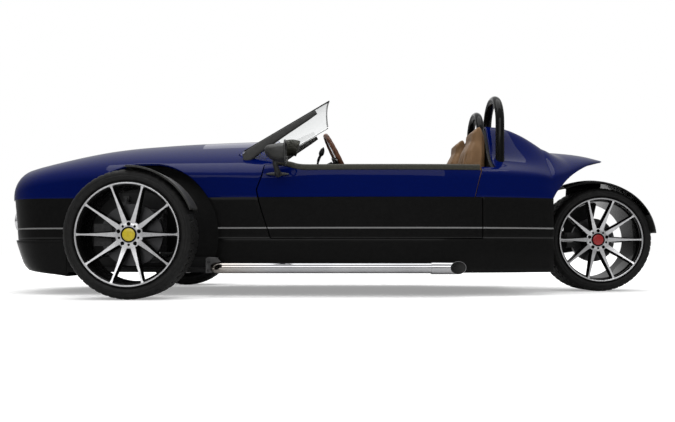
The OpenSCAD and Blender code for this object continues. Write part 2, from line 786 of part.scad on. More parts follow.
module rear_disc() {
    color([0.5, 0.5, 0.5]) translate([rear_x, rear_disc_y, rear_tyre_r])
        disc(rear_disc_r, rear_hub_r + run_gap, rear_disc_t);
}

module rear_rim() {
    color([0.6, 0.6, 0.62]) translate([rear_x, 0, rear_tyre_r])
        rim(rear_rim_r, rear_face_y, rear_back_y, rear_hub_y, rear_disc_y, rear_hub_r + run_gap);
}

module rear_tyre() {
    color([0.05, 0.05, 0.05]) translate([rear_x, 0, rear_tyre_r])
        tyre(rear_tyre_r, rear_tyre_w, rear_rim_r - 17 + seat_gap);
}

// ---------------------------------------------------------------- rear suspension

module swing_arm() {
    color([0.15, 0.15, 0.15]) {
        side_prism([[swing_x - 30, swing_z - 30], [swing_x - 30, swing_z + 30], [swing_x + 90, swing_z + 62],
            [rear_x - 60, rear_tyre_r + 76], [rear_x, rear_tyre_r + 62], [rear_x, rear_tyre_r - 62],
            [rear_x - 60, rear_tyre_r - 70], [swing_x + 90, swing_z - 52]], arm_y, arm_y + arm_t);
        translate([rear_x, 0, rear_tyre_r]) {
            y_rod(62, arm_y, arm_y + arm_t);
            y_rod(rear_hub_r, rear_hub_y + 14, arm_y + 1);
        }
        translate([swing_x, 0, swing_z]) {
            y_rod(28, -arm_y + seat_gap, arm_y + 1);
            y_rod(swing_pin_r, -arm_y - 30, arm_y + arm_t + 30);
        }
        translate([rear_x - 125, rear_disc_y + rear_disc_t + 10 + seat_gap, rear_tyre_r - 15])
            cube([30, arm_y - rear_disc_y - rear_disc_t - 9, 30]);
    }
}

module rear_caliper() {
    color([0.2, 0.2, 0.2]) difference() {
        translate([rear_x - rear_disc_r - 28, rear_disc_y - 10, rear_tyre_r - 45])
            cube([84, rear_disc_t + 20, 90]);
        translate([rear_x, 0, rear_tyre_r]) y_rod(rear_disc_r + 4, rear_disc_y - 2, rear_disc_y + rear_disc_t + 2);
    }
}

// Radius of the rear fender's inner face at angle a from the rear: it flares out over the front
function fender_r(a) = rear_tyre_r + rear_fender_gap + 46 * pow(max(a - 60, 0) / 66, 2);
function fender_thick(a) = rear_fender_t + 20 * pow(max(a - 40, 0) / 86, 1.3);

module rear_fender() {
    steps = 22;
    angles = [for (i = [0:steps]) fender_end + 119 * i / steps];
    half = rear_fender_w / 2;
    color([0.05, 0.05, 0.05]) translate([rear_x, 0, rear_tyre_r]) {
        side_prism(concat([for (a = angles) fender_r(a) * [cos(a), sin(a)]],
            [for (i = [steps:-1:0]) let (a = angles[i]) (fender_r(a) + fender_thick(a)) * [cos(a), sin(a)]]),
            -half, half + 6);
        side_prism([[-130, 40], [40, 40], [95, fender_r(70) - 12], [60, fender_r(80)], [-110, fender_r(108)]],
            half, half + 6);
    }
}

// ---------------------------------------------------------------- doors and mirrors

module door() {
    slot = hinge_arm_t / 2 + move_gap;
    difference() {
        intersection() {
            difference() {
                body_block(0, door_low_z, door_top_z);
                body_block(door_t, door_low_z - 1, door_top_z + 1);
            }
            side_prism(door_outline(0, 0), 300, 700);
        }
        translate([door_front_x - 20, hinge_y - 78, hinge_arm_z - slot])
            cube([hinge_x + 22 - door_front_x + 20, 90, 2 * slot]);
        translate([hinge_x, hinge_y, door_low_z - 1]) cylinder(r = sill_pin_r + run_gap, h = sill_pin_top_z - door_low_z + 4);
    }
    translate([hinge_x, hinge_y, hinge_arm_z - slot - 6]) cylinder(r = pin_r, h = 2 * slot + 12);
}

module door_left() {
    color([0.02, 0.06, 0.3]) left_side() door();
}

module door_right() {
    color([0.02, 0.06, 0.3]) door();
}

mirror_x = door_front_x + 114;
mirror_y = half_w(mirror_x + 64) + seat_gap;
mirror_z = split_z + 120;

// Corner posts, along X, of a mirror head's end: half width hw and half height hh about its middle
module head_end(x, hw, hh, t) {
    for (i = [-1, 1], k = [-1, 1])
        translate([mirror_x + x, mirror_y + 150 + i * hw, mirror_z + 95 + k * hh])
            rotate([0, 90, 0]) cylinder(r = 18, h = t, $fn = 24);
}

module mirror_unit() {
    translate([mirror_x - 64, mirror_y, mirror_z - 8]) cube([128, 26, 16]);
    rod([mirror_x, mirror_y + 12, mirror_z], [mirror_x - 5, mirror_y + 118, mirror_z + 62], 13);
    hull() {
        head_end(20, 72, 36, 32);
        head_end(-54, 46, 12, 4);
    }
}

module mirror_left() {
    color([0.12, 0.12, 0.11]) left_side() mirror_unit();
}

module mirror_right() {
    color([0.12, 0.12, 0.11]) mirror_unit();
}

// ---------------------------------------------------------------- windscreen

glass_top_x = door_front_x + 390;

// Point at distance d down the windscreen from its top edge, and o below its lower face
function on_glass(d, o) = [glass_top_x - d * cos(glass_slope) + (o + glass_t) * sin(glass_slope),
    glass_top_z - d * sin(glass_slope) - (o + glass_t) * cos(glass_slope)];

module windscreen() {
    color([0.8, 0.9, 0.95, 0.4]) one_mesh() difference() {
        side_prism([on_glass(0, 0), on_glass(0, -glass_t), on_glass(700, -glass_t), on_glass(700, 0)],
            -glass_half_w, glass_half_w);
        translate([0, 0, seat_gap]) bonnet_solid(-seat_gap, scuttle_end_x + seat_gap);
    }
}

module windscreen_frame() {
    color([0.2, 0.2, 0.19]) one_mesh() difference() {
        both_sides() side_prism([on_glass(97, -glass_t), on_glass(560, -glass_t), on_glass(592, 18), on_glass(590, 44),
            on_glass(560, 60), on_glass(530, 60), on_glass(97, 26)], glass_half_w + seat_gap, glass_half_w + 26);
        translate([0, 0, seat_gap]) bonnet_solid(-seat_gap, scuttle_end_x + seat_gap);
    }
}

// ---------------------------------------------------------------- cabin

dash_x = scuttle_end_x - 75;
dash_low_z = 640;
dash_half_w = 455;

module dashboard() {
    ring = bonnet_ring(dash_x, skin_t + 1);
    color([0.12, 0.12, 0.11]) {
        intersection() {
            cross_wall(dash_x, 120, dash_low_z, dash_half_w + 1,
                [for (p = ring) [p[0], p[1], max(p[2], dash_low_z + 1)]]);
            difference() {
                translate([dash_x, -dash_half_w, dash_low_z]) cube([120, 2 * dash_half_w, 400]);
                side_prism([on_glass(0, 1), on_glass(700, 1), on_glass(700, -200), on_glass(0, -200)],
                    -dash_half_w - 1, dash_half_w + 1);
            }
        }
        both_sides() difference() {
            translate([hinge_x, 0, hinge_arm_z - hinge_arm_t / 2]) union() {
                translate([-8, dash_half_w - 20, 0]) cube([16, hinge_y - dash_half_w + 20, hinge_arm_t]);
                translate([0, hinge_y, 0]) cylinder(r = 9.5, h = hinge_arm_t);
            }
            translate([hinge_x, hinge_y, hinge_arm_z - hinge_arm_t]) cylinder(r = pin_r + run_gap, h = 2 * hinge_arm_t);
        }
    }
}

// Steering axis: the middle of the steering wheel, and the direction from it to the driver
wheel_x = door_front_x + 442;
wheel_z = 753;
column_rake = 26.6;
column_reach = (wheel_x - firewall_x - 14.5 - 17 * sin(column_rake)) / cos(column_rake);

module on_column() {
    translate([wheel_x, -seat_y, wheel_z]) rotate([0, 90 - column_rake, 0]) children();
}

module steering_column() {
    color([0.1, 0.1, 0.1]) {
        on_column() translate([0, 0, -column_reach]) cylinder(r = 17, h = column_reach - 35);
        on_column() translate([0, 0, -40]) cylinder(r = 9, h = 45);
        translate([dash_x + 70, -seat_y - 18, wheel_z + (dash_x + 70 - wheel_x) * tan(column_rake) + 5])
            cube([30, 36, dash_low_z - seat_gap - 5 - wheel_z - (dash_x + 70 - wheel_x) * tan(column_rake)]);
    }
}

module steering_wheel() {
    color([0.35, 0.2, 0.12]) on_column() difference() {
        union() {
            rotate_extrude() translate([wheel_ring_r, 0]) circle(r = 13);
            translate([0, 0, -28]) cylinder(r = 34, h = 36);
            for (a = [0, 100, 260]) rotate([0, 0, a]) translate([20, -14, -8]) cube([wheel_ring_r - 25, 28, 8]);
        }
        translate([0, 0, -29]) cylinder(r = 9 + run_gap, h = 35);
    }
}

seat_front_x = door_rear_x - 520;
seat_low_z = floor_top_z + seat_gap;

// Seat cushion and backrest, apart by a hair
module seat() {
    half = seat_w / 2;
    side_prism([[seat_front_x, seat_low_z], [seat_front_x, seat_low_z + 160], [seat_front_x + 60, seat_low_z + 185],
        [door_rear_x - 90, seat_low_z + 150], [door_rear_x - 90, seat_low_z]], -half, half);
    side_prism([[door_rear_x - 90 + seat_gap, seat_low_z], [door_rear_x - 90 + seat_gap, seat_low_z + 170],
        [door_rear_x - 48, seat_top_z - 210], [door_rear_x + 12, seat_top_z - 40], [door_rear_x + 26, seat_top_z],
        [door_rear_x + 48, seat_top_z - 4], [door_rear_x + 66, seat_top_z - 60],
        [bulkhead_x - bulkhead_t - seat_gap, seat_top_z - 190], [bulkhead_x - bulkhead_t - seat_gap, seat_low_z]],
        -half, half);
}

module seat_left() {
    color([0.55, 0.38, 0.22]) translate([0, -seat_y, 0]) seat();
}

module seat_right() {
    color([0.55, 0.38, 0.22]) translate([0, seat_y, 0]) seat();
}

module roll_hoops() {
    bend = hoop_legs / 2;
    foot_z = split_z + 35 + seat_gap;
    color([0.04, 0.04, 0.04]) for (side = [-1, 1]) translate([hoop_x, side * seat_y, hoop_top_z - hoop_d / 2 - bend]) {
        rotate([90, 0, 90]) rotate_extrude(angle = 180) translate([bend, 0]) circle(r = hoop_d / 2);
        for (leg = [-1, 1]) translate([0, leg * bend, 0]) mirror([0, 0, 1])
            cylinder(r = hoop_d / 2, h = hoop_top_z - hoop_d / 2 - bend - foot_z);
    }
}

// ---------------------------------------------------------------- exhaust

pipe_from_x = firewall_x - 27;
pipe_bend = 60;
tip_x = rear_x - 894;
tip_l = 190;

module exhaust_pipe() {
    wall_y = half_w(pipe_from_x + pipe_d / 2) + 1.5 * seat_gap;
    r = pipe_d / 2;
    difference() {
        union() {
            translate([pipe_from_x, 0, pipe_z]) y_rod(r, wall_y, pipe_y - pipe_bend);
            translate([pipe_from_x + pipe_bend, pipe_y - pipe_bend, pipe_z]) rotate([0, 0, 90])
                rotate_extrude(angle = 90) translate([pipe_bend, 0]) circle(r = r);
            translate([pipe_from_x + pipe_bend, pipe_y, pipe_z]) rotate([0, 90, 0])
                cylinder(r = r, h = tip_x - tip_l - pipe_from_x - pipe_bend);
            translate([tip_x - tip_l, pipe_y, pipe_z]) rotate([0, 90, 0]) cylinder(r = tip_d / 2, h = tip_l);
            for (x = [door_front_x + 140, door_mid_x - 158, door_mid_x + 192])
                translate([x - 15, half_w(x) + 3, pipe_z - 6]) cube([30, pipe_y - half_w(x) - 3, 12]);
        }
        translate([tip_x - 360, pipe_y, pipe_z]) rotate([0, 90, 0]) cylinder(r = r - 3, h = 310);
        translate([tip_x - tip_l + 8, pipe_y, pipe_z]) rotate([0, 90, 0]) cylinder(r = tip_d / 2 - 3, h = 200);
        translate([0, 0, pipe_z - tip_d]) linear_extrude(2 * tip_d)
            polygon([[tip_x + 19, pipe_y - 0.7 * tip_d], [tip_x - 114, pipe_y + 0.7 * tip_d],
                [tip_x + 60, pipe_y + 0.7 * tip_d]]);
    }
}

module exhaust_pipes() {
    color([0.75, 0.75, 0.77]) both_sides() exhaust_pipe();
}

bonnet();
lower_body();
nose_grille();
front_lip();
head_lamps();
windscreen_frame();
windscreen();
dashboard();
steering_column();
steering_wheel();
seat_left();
seat_right();
chassis();
cabin_bulkhead();
roll_hoops();
tail_deck();
tail_lamps();
exhaust_pipes();
engine_block();
wishbones();
dampers();
tie_rods();
drive_shafts();
knuckle_left();
knuckle_right();
front_caliper_left();
front_caliper_right();
front_fender_left();
front_fender_right();
front_disc_left();
front_disc_right();
front_rim_left();
front_rim_right();
front_tyre_left();
front_tyre_right();
swing_arm();
rear_caliper();
rear_disc();
rear_rim();
rear_tyre();
rear_fender();
door_left();
door_right();
mirror_left();
mirror_right();
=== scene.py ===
from math import copysign, cos, degrees, exp, hypot, pi, radians, sin, sqrt

import bmesh
import bpy
import numpy as np
from mathutils import Matrix, Vector


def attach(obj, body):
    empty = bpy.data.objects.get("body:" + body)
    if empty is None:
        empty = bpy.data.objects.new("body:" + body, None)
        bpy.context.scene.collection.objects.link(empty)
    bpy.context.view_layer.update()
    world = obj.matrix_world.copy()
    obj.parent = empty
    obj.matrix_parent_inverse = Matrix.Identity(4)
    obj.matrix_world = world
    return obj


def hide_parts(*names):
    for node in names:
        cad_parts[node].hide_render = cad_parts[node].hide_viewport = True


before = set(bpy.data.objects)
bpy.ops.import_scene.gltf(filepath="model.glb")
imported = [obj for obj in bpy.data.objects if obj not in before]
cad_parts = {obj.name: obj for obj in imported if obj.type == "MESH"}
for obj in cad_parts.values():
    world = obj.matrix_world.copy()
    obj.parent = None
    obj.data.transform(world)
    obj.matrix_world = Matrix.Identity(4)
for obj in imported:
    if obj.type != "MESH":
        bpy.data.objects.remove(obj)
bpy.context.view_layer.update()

scene = bpy.context.scene
MM = 0.001

# ------------------------------------------------------------------ camera

lens = bpy.data.cameras.new("camera")
camera = bpy.data.objects.new("camera", lens)
scene.collection.objects.link(camera)
camera.location = (-0.091, -4.342, 0.242)
camera.rotation_euler = (radians(90), 0, 0)
lens.lens = 38.07
lens.sensor_width = 36
lens.shift_x = 0.0230
lens.shift_y = 0.0585
lens.clip_start, lens.clip_end = 0.05, 100
scene.camera = camera

# ------------------------------------------------------------------ sizes, in mm, as in the CAD

NOSE_X, FRONT_X, REAR_X = -1882.8, -1042.8, 1557.2
DOOR_X0, DOOR_X1 = -439.8, 756.2
PANEL_X, TAIL_X, SCUTTLE_X, BULK_X, HOOP_X = 1172.2, 1604.2, -344.8, 845.2, 893.2
SPLIT_Z, FLOOR_Z, DOOR_LOW_Z, DOOR_TOP_Z = 525, 124, 310, 697
FRONT_R, REAR_R, ARCH_R, HALF_TRACK = 320, 306, 400, 761.5
FRONT_W, REAR_W = 225, 270
SEAT_Y = 240
RACK_X, RACK_Z = FRONT_X + 120, 224
PIPE_Y, PIPE_Z, PIPE_BORE, PIPE_CUT_X, BRACKET_X = 645, 152, 32.7, 474.5, -650
# Thickness of the blue panels, of the black sides and of the doors
TOP_T, SIDE_T, DOOR_T = 10, 26, 54
HINGE = (-339.8, 548.6)
HINGE_SLOT = (647, 663)
# Length over which the nose rounds in plan
NOSE_ROUND = 283
# Where the front and the rear panels' plain side ends and their roof begins
SCUTTLE_SIDE_Z, TAIL_SIDE_Z = 703, 690
SIDES = ((1, "right"), (-1, "left"))


def curve(points, x):
    """Smooth curve through (x, value) points, as the CAD draws it."""
    i = 0
    while i < len(points) - 2 and x >= points[i + 1][0]:
        i += 1

    def slope(k):
        a, b = max(k - 1, 0), min(k + 1, len(points) - 1)
        return (points[b][1] - points[a][1]) / (points[b][0] - points[a][0])

    h = points[i + 1][0] - points[i][0]
    t = min(max((x - points[i][0]) / h, 0), 1)
    s, c = t * t, t * t * t
    return ((2 * c - 3 * s + 1) * points[i][1] + (c - 2 * s + t) * h * slope(i)
            + (3 * s - 2 * c) * points[i + 1][1] + (c - s) * h * slope(i + 1))


WIDTHS = [[NOSE_X + 120, 436], [FRONT_X, 500], [DOOR_X0, 556], [(DOOR_X0 + DOOR_X1) / 2, 590],
          [DOOR_X1, 568], [PANEL_X, 450], [TAIL_X, 220]]
CROWNS = [[NOSE_X, 692], [FRONT_X - 336, 827], [FRONT_X + 54, 874], [DOOR_X0, 901], [SCUTTLE_X, 903]]
UPRIGHTS = [[NOSE_X, 0.05], [NOSE_X + 230, 0.3], [FRONT_X, 0.34], [SCUTTLE_X, 0.3]]
SQUARENESS = [[NOSE_X, 2.6], [NOSE_X + 260, 1.9], [FRONT_X, 1.5], [DOOR_X0, 1.4], [SCUTTLE_X, 1.4]]
RIDGES = [[BULK_X, 866], [REAR_X - 267, 834], [REAR_X - 111, 817], [TAIL_X, 785]]
EDGE_ZS = [[PANEL_X - 1, 525], [PANEL_X + 30, 567], [REAR_X - 246, 662], [REAR_X - 90, 740], [TAIL_X, 777]]
EDGE_WS = [[PANEL_X - 1, 450], [REAR_X - 246, 330], [REAR_X - 90, 180], [TAIL_X, 12]]
TAIL_UPRIGHTS = [[BULK_X, 0.4], [PANEL_X, 0.35], [REAR_X - 246, 0.15], [TAIL_X, 0.05]]
TAIL_SQUARENESS = [[BULK_X, 1.15], [PANEL_X, 1.3], [TAIL_X, 1.7]]


def rounded(t, n):
    return (1 - (1 - min(max(t, 0), 1)) ** 2) ** (1 / n)


def half_w(x):
    return curve(WIDTHS, x) * rounded((x - NOSE_X) / NOSE_ROUND, 3)


def crown_z(x):
    return SPLIT_Z + (curve(CROWNS, x) - SPLIT_Z) * rounded((x - NOSE_X) / 120, 2)


def roof_y(z, w, low, high, upright, n):
    """Half width at height z of a section that is upright at the side and rounded above."""
    top = low + (high - low) * upright
    if z <= top:
        return w
    t = min((z - top) / (high - top), 1)
    return w * max(1 - t ** n, 0) ** (1 / n)


def bonnet_y(x, z):
    return roof_y(z, half_w(x), SPLIT_Z, crown_z(x), curve(UPRIGHTS, x), curve(SQUARENESS, x))


def tail_edge(x):
    return (SPLIT_Z, half_w(x)) if x < PANEL_X else (curve(EDGE_ZS, x), curve(EDGE_WS, x))


def hump(x, y):
    t = min(max((x - BULK_X - 40) / 430, 0), 1)
    return 157 * cos(pi / 2 * t) ** 1.5 * exp(-((abs(y) - SEAT_Y) / 95) ** 2)


def nose_stations(count):
    """Stations along the rounded nose, closest together at its tip."""
    return [NOSE_X + 0.35 + NOSE_ROUND * (i / (count - 1)) ** 3 for i in range(count)]


def arch_reach(z):
    """Half the length of the front wheel arch at height z."""
    return sqrt(ARCH_R ** 2 - (z - FRONT_R) ** 2)


def around(count):
    """Angles of a full turn."""
    return np.linspace(0, 2 * pi, count, endpoint=False)


def signed(value, power):
    return copysign(abs(value) ** power, value)


def seam_x(z):
    """Front seam of the door."""
    return DOOR_X0 + float(np.interp(z, [304, 429, 508, 566, 641, 703], [80, 38, 15, 4, 33, 45]))


def rear_seam_x(z):
    """Rear seam of the door above the colour split."""
    return DOOR_X1 + float(np.interp(z, [525, 703], [-41, 5]))


def resampled(points, count):
    p = np.asarray(points, float)
    d = np.concatenate([[0], np.cumsum(np.linalg.norm(np.diff(p, axis=0), axis=1))])
    at = np.linspace(0, d[-1], count)
    return np.stack([np.interp(at, d, p[:, k]) for k in range(p.shape[1])], 1)


# ------------------------------------------------------------------ meshes


class Geo:
    """Gathers the faces of one piece, in mm."""

    def __init__(self):
        self.v, self.f, self.m = [], [], []

    def add(self, verts, faces, mat=0):
        n = len(self.v)
        self.v.extend([tuple(map(float, p)) for p in verts])
        self.f.extend([tuple(i + n for i in f) for f in faces])
        self.m.extend([mat] * len(faces) if isinstance(mat, int) else list(mat))
        return self

    def grid(self, rows, mat=0, wrap=False):
        """Sheet through rows of points."""
        p = np.asarray(rows, float)
        m, n = p.shape[:2]
        k = n if wrap else n - 1
        faces = [(i * n + j, i * n + (j + 1) % n, (i + 1) * n + (j + 1) % n, (i + 1) * n + j)
                 for i in range(m - 1) for j in range(k)]
        return self.add(p.reshape(-1, 3), faces, mat)

    def box(self, lo, hi, mat=0):
        v = [(x, y, z) for x in (lo[0], hi[0]) for y in (lo[1], hi[1]) for z in (lo[2], hi[2])]
        return self.add(v, [(0, 1, 3, 2), (4, 6, 7, 5), (0, 4, 5, 1), (2, 3, 7, 6), (0, 2, 6, 4), (1, 5, 7, 3)], mat)

    def prism(self, outline, y0, y1, mat=0):
        """Outline of (x, z) points drawn out along Y."""
        n = len(outline)
        v = [(x, y0, z) for x, z in outline] + [(x, y1, z) for x, z in outline]
        sides = [(i, (i + 1) % n, n + (i + 1) % n, n + i) for i in range(n)]
        return self.add(v, sides + [tuple(range(n)), tuple(range(2 * n - 1, n - 1, -1))], mat)

    def turned(self, profile, centre, axis=(0, 1, 0), steps=96, mat=0):
        """Closed loop of (radius, distance along the axis) turned about the axis."""
        q = Vector(axis).to_track_quat("Z", "Y")
        c = Vector(centre)
        rings = [[tuple(c + q @ Vector((r * cos(t), r * sin(t), a))) for t in around(steps)]
                 for r, a in profile]
        return self.loop(rings, mat)

    def loop(self, rings, mat=0):
        """Closed surface through rings that end where they begin, with one material or one for each strip."""
        rings = rings + rings[:1]
        steps = len(rings[0])
        mats = [mat] * (len(rings) - 1) if isinstance(mat, int) else mat
        n = len(self.f)
        self.grid(rings, 0, wrap=True)
        self.m[n:] = [mats[i // steps] for i in range(len(self.f) - n)]
        return self

    def loft(self, rings, mat=0, ends=None):
        """Closed body through rings, with flat ends."""
        n, k = len(self.v), len(rings[0])
        self.grid(rings, mat, wrap=True)
        last = len(self.v)
        self.f += [tuple(range(n, n + k)), tuple(range(last - 1, last - k - 1, -1))]
        self.m += ends or [mat, mat]
        return self

    def tube(self, path, radius, mat=0, sides=16):
        """Round bar along a path, with its ends closed."""
        p = [Vector(a) for a in path]
        rs = radius if hasattr(radius, "__len__") else [radius] * len(p)
        t = (p[1] - p[0]).normalized()
        u = t.orthogonal().normalized()
        rings = []
        for i, c in enumerate(p):
            nt = (p[min(i + 1, len(p) - 1)] - p[max(i - 1, 0)]).normalized()
            u = (t.rotation_difference(nt) @ u).normalized()
            t = nt
            w = t.cross(u)
            rings.append([tuple(c + rs[i] * (cos(a) * u + sin(a) * w)) for a in around(sides)])
        return self.loft(rings, mat)

    def mirrored(self):
        g = Geo()
        g.v = [(x, -y, z) for x, y, z in self.v]
        g.f = [tuple(reversed(f)) for f in self.f]
        g.m = list(self.m)
        return g

    def on_side(self, side):
        """The piece as drawn on the right, or its mirror image for the left."""
        return self if side > 0 else self.mirrored()

    def join(self, other):
        n = len(self.v)
        self.v += other.v
        self.f += [tuple(i + n for i in f) for f in other.f]
        self.m += other.m
        return self


def smooth_path(points, count):
    """Smooth path through a few points."""
    p = [Vector(a) for a in points]
    out = []
    for i in range(len(p) - 1):
        a, b, c, d = p[max(i - 1, 0)], p[i], p[i + 1], p[min(i + 2, len(p) - 1)]
        for k in range(count):
            t = k / count
            out.append(0.5 * (2 * b + (c - a) * t + (2 * a - 5 * b + 4 * c - d) * t * t
                              + (3 * b - a - 3 * c + d) * t ** 3))
    return out + [p[-1]]


def mesh_object(name, geo):
    me = bpy.data.meshes.new(name)
    me.from_pydata((np.asarray(geo.v) * MM).tolist(), [], geo.f)
    ob = bpy.data.objects.new(name, me)
    scene.collection.objects.link(ob)
    return ob


def face_outside(me):
    bm = bmesh.new()
    bm.from_mesh(me)
    bmesh.ops.recalc_face_normals(bm, faces=bm.faces)
    bm.to_mesh(me)
    bm.free()


def flip_where(me, wrong):
    for p in me.polygons:
        if wrong(p):
            p.flip()


def build(name, geo, mats, body="root", slot=None, replaces=(), sharp=35, weld=0.05, recalc=True):
    """Makes one piece with the looks named in mats. It rides a body and stands in for CAD nodes. Its slot argument is
    not used.
    """
    ob = mesh_object(name, geo)
    me = ob.data
    me.polygons.foreach_set("material_index", geo.m)
    for key in mats.split():
        me.materials.append(M[key])
    bm = bmesh.new()
    bm.from_mesh(me)
    if weld:
        bmesh.ops.remove_doubles(bm, verts=bm.verts, dist=weld * MM)
        bmesh.ops.dissolve_degenerate(bm, edges=bm.edges, dist=0.01 * MM)
    if recalc:
        bmesh.ops.recalc_face_normals(bm, faces=bm.faces)
    bm.to_mesh(me)
    bm.free()
    shade(me, sharp)
    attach(ob, body)
    if replaces:
        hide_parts(*replaces)
    return ob


def shade(me, sharp):
    me.polygons.foreach_set("use_smooth", [True] * len(me.polygons))
    me.set_sharp_from_angle(angle=radians(sharp))
    me.update()


def modifier(ob, kind, **values):
    m = ob.modifiers.new(kind.lower(), kind)
    for k, v in values.items():
        setattr(m, k, v)
    return m


def bevel(ob, mm, angle=35, segments=2):
    return modifier(ob, "BEVEL", width=mm * MM, segments=segments, limit_method="ANGLE",
                    angle_limit=radians(angle), harden_normals=False)


def solid(ob, mm, rim=None, inner=None):
    m = modifier(ob, "SOLIDIFY", thickness=mm * MM, offset=-1, use_even_offset=True)
    if rim is not None:
        m.material_offset_rim = rim
    if inner is not None:
        m.material_offset = inner
    return m


def apply_all(ob):
    dg = bpy.context.evaluated_depsgraph_get()
    me = bpy.data.meshes.new_from_object(ob.evaluated_get(dg), preserve_all_data_layers=True, depsgraph=dg)
    ob.modifiers.clear()
    ob.data = me
    return me


def cut(ob, geo):
    """Cuts the shape out of the piece."""
    tool = mesh_object("cutter", geo)
    face_outside(tool.data)
    modifier(ob, "BOOLEAN", object=tool, operation="DIFFERENCE", solver="EXACT")
    apply_all(ob)
    bpy.data.objects.remove(tool)


# ------------------------------------------------------------------ materials


class Nodes:
    """Short form for building one node material."""

    def __init__(self, name):
        self.mat = bpy.data.materials.new(name)
        self.mat.use_nodes = True
        self.t = self.mat.node_tree
        self.bsdf = self.t.nodes["Principled BSDF"]
        self.pos = self.t.nodes.new("ShaderNodeTexCoord").outputs["Object"]

    def new(self, kind, **inputs):
        n = self.t.nodes.new("ShaderNode" + kind)
        for k, v in inputs.items():
            self.put(n, k.replace("_", " "), v)
        return n

    def put(self, node, key, value):
        s = node.inputs[int(key[1:])] if key[0] == "i" and key[1:].isdigit() else node.inputs[key]
        if hasattr(value, "is_output"):
            self.t.links.new(value, s)
        else:
            s.default_value = value

    def math(self, op, a, b=0.0, c=0.0):
        n = self.new("Math", i0=a, i1=b, i2=c)
        n.operation = op
        return n.outputs[0]

    def noise(self, scale, detail=4.0, stretch=None):
        vec = self.pos
        if stretch:
            vec = self.new("Mapping", Vector=self.pos, Scale=stretch).outputs[0]
        return self.new("TexNoise", Vector=vec, Scale=scale, Detail=detail, Roughness=0.55).outputs[0]

    def ramp(self, value, low, high, to_low=0.0, to_high=1.0):
        return self.new("MapRange", i0=value, i1=low, i2=high, i3=to_low, i4=to_high).outputs[0]

    def mix(self, fac, a, b):
        n = self.t.nodes.new("ShaderNodeMix")
        n.data_type = "RGBA"
        self.put(n, "i0", fac)
        self.put(n, "i6", a)
        self.put(n, "i7", b)
        return n.outputs[2]

    def bump(self, height, distance, strength=1.0, normal=None):
        n = self.new("Bump", Height=height, Distance=distance, Strength=strength)
        if normal is not None:
            self.put(n, "Normal", normal)
        return n.outputs[0]

    def set(self, **inputs):
        for k, v in inputs.items():
            self.put(self.bsdf, k.replace("_", " "), v)
        return self


def rgb(r, g, b):
    return (r, g, b, 1.0)


def grey(value):
    return (value, value, value)


def finish_of(name, dark, light, rough=(0.3, 0.45), scale=30.0, metallic=0.0, bump=None, specular=0.5,
              coat=0.0):
    """A finish with mottled colour, uneven gloss and a fine relief."""
    n = Nodes(name)
    a, b = n.noise(scale, 5.0), n.noise(scale * 3.7, 3.0)
    n.set(Base_Color=n.mix(n.ramp(a, 0.35, 0.65), rgb(*dark), rgb(*light)),
          Roughness=n.ramp(b, 0.3, 0.7, *rough), Metallic=metallic, Specular_IOR_Level=specular)
    if coat:
        n.set(Coat_Weight=coat, Coat_Roughness=0.04, Coat_IOR=1.22)
    if bump:
        n.set(Normal=n.bump(n.noise(bump[0], 3.0), bump[1] * MM))
    return n.mat


def body_black():
    """Satin black with the two thin grey lines along the side."""
    n = Nodes("black_with_lines")
    z = n.new("SeparateXYZ", Vector=n.pos).outputs[2]
    upper = n.math("COMPARE", z, 0.362, 0.0038)
    lower = n.math("COMPARE", z, 0.310, 0.0022)
    grain = n.noise(60.0, 5.0)
    base = n.mix(n.ramp(grain, 0.3, 0.7), rgb(*grey(0.0034)), rgb(0.0050, 0.0050, 0.0049))
    lined = n.mix(lower, base, rgb(*grey(0.030)))
    lined = n.mix(upper, lined, rgb(*grey(0.17)))
    n.set(Base_Color=lined, Roughness=n.ramp(n.noise(18.0), 0.3, 0.7, 0.30, 0.40),
          Normal=n.bump(n.noise(900.0, 2.0), 0.02 * MM),
          Specular_IOR_Level=0.03, Coat_Weight=0.5, Coat_Roughness=0.06, Coat_IOR=1.15)
    return n.mat


def blue_paint():
    n = Nodes("blue_paint")
    flake = n.noise(2600.0, 1.0)
    n.set(Base_Color=n.mix(n.ramp(flake, 0.45, 0.7), rgb(0.0001, 0.0032, 0.050), rgb(0.0002, 0.0062, 0.078)),
          Roughness=n.ramp(n.noise(7.0), 0.3, 0.7, 0.32, 0.38),
          Normal=n.bump(flake, 0.004 * MM), Specular_IOR_Level=0.0,
          Coat_Weight=0.9, Coat_Roughness=0.02, Coat_IOR=1.16, Coat_Tint=rgb(0.8, 0.9, 1.0))
    return n.mat


def glass():
    n = Nodes("clear_glass")
    n.set(Base_Color=n.mix(n.noise(9.0), rgb(0.93, 0.95, 0.95), rgb(0.96, 0.97, 0.97)),
          Roughness=n.ramp(n.noise(40.0), 0.3, 0.7, 0.0, 0.02),
          IOR=1.1, Transmission_Weight=1.0, Specular_IOR_Level=0.3)
    return n.mat


def leather(name, dark, light, scale=1.0):
    n = Nodes(name)
    cells = n.new("TexVoronoi", Vector=n.pos, Scale=420.0 * scale)
    cells.feature = "DISTANCE_TO_EDGE"
    pores = n.ramp(cells.outputs[0], 0.0, 0.12)
    wear = n.noise(11.0, 5.0)
    n.set(Base_Color=n.mix(n.ramp(wear, 0.35, 0.68), rgb(*dark), rgb(*light)),
          Roughness=n.ramp(n.noise(30.0), 0.3, 0.7, 0.38, 0.52),
          Normal=n.bump(pores, 0.25 * MM, 0.6, n.bump(n.noise(55.0, 4.0), 0.7 * MM, 0.6)),
          Specular_IOR_Level=0.12)
    return n.mat


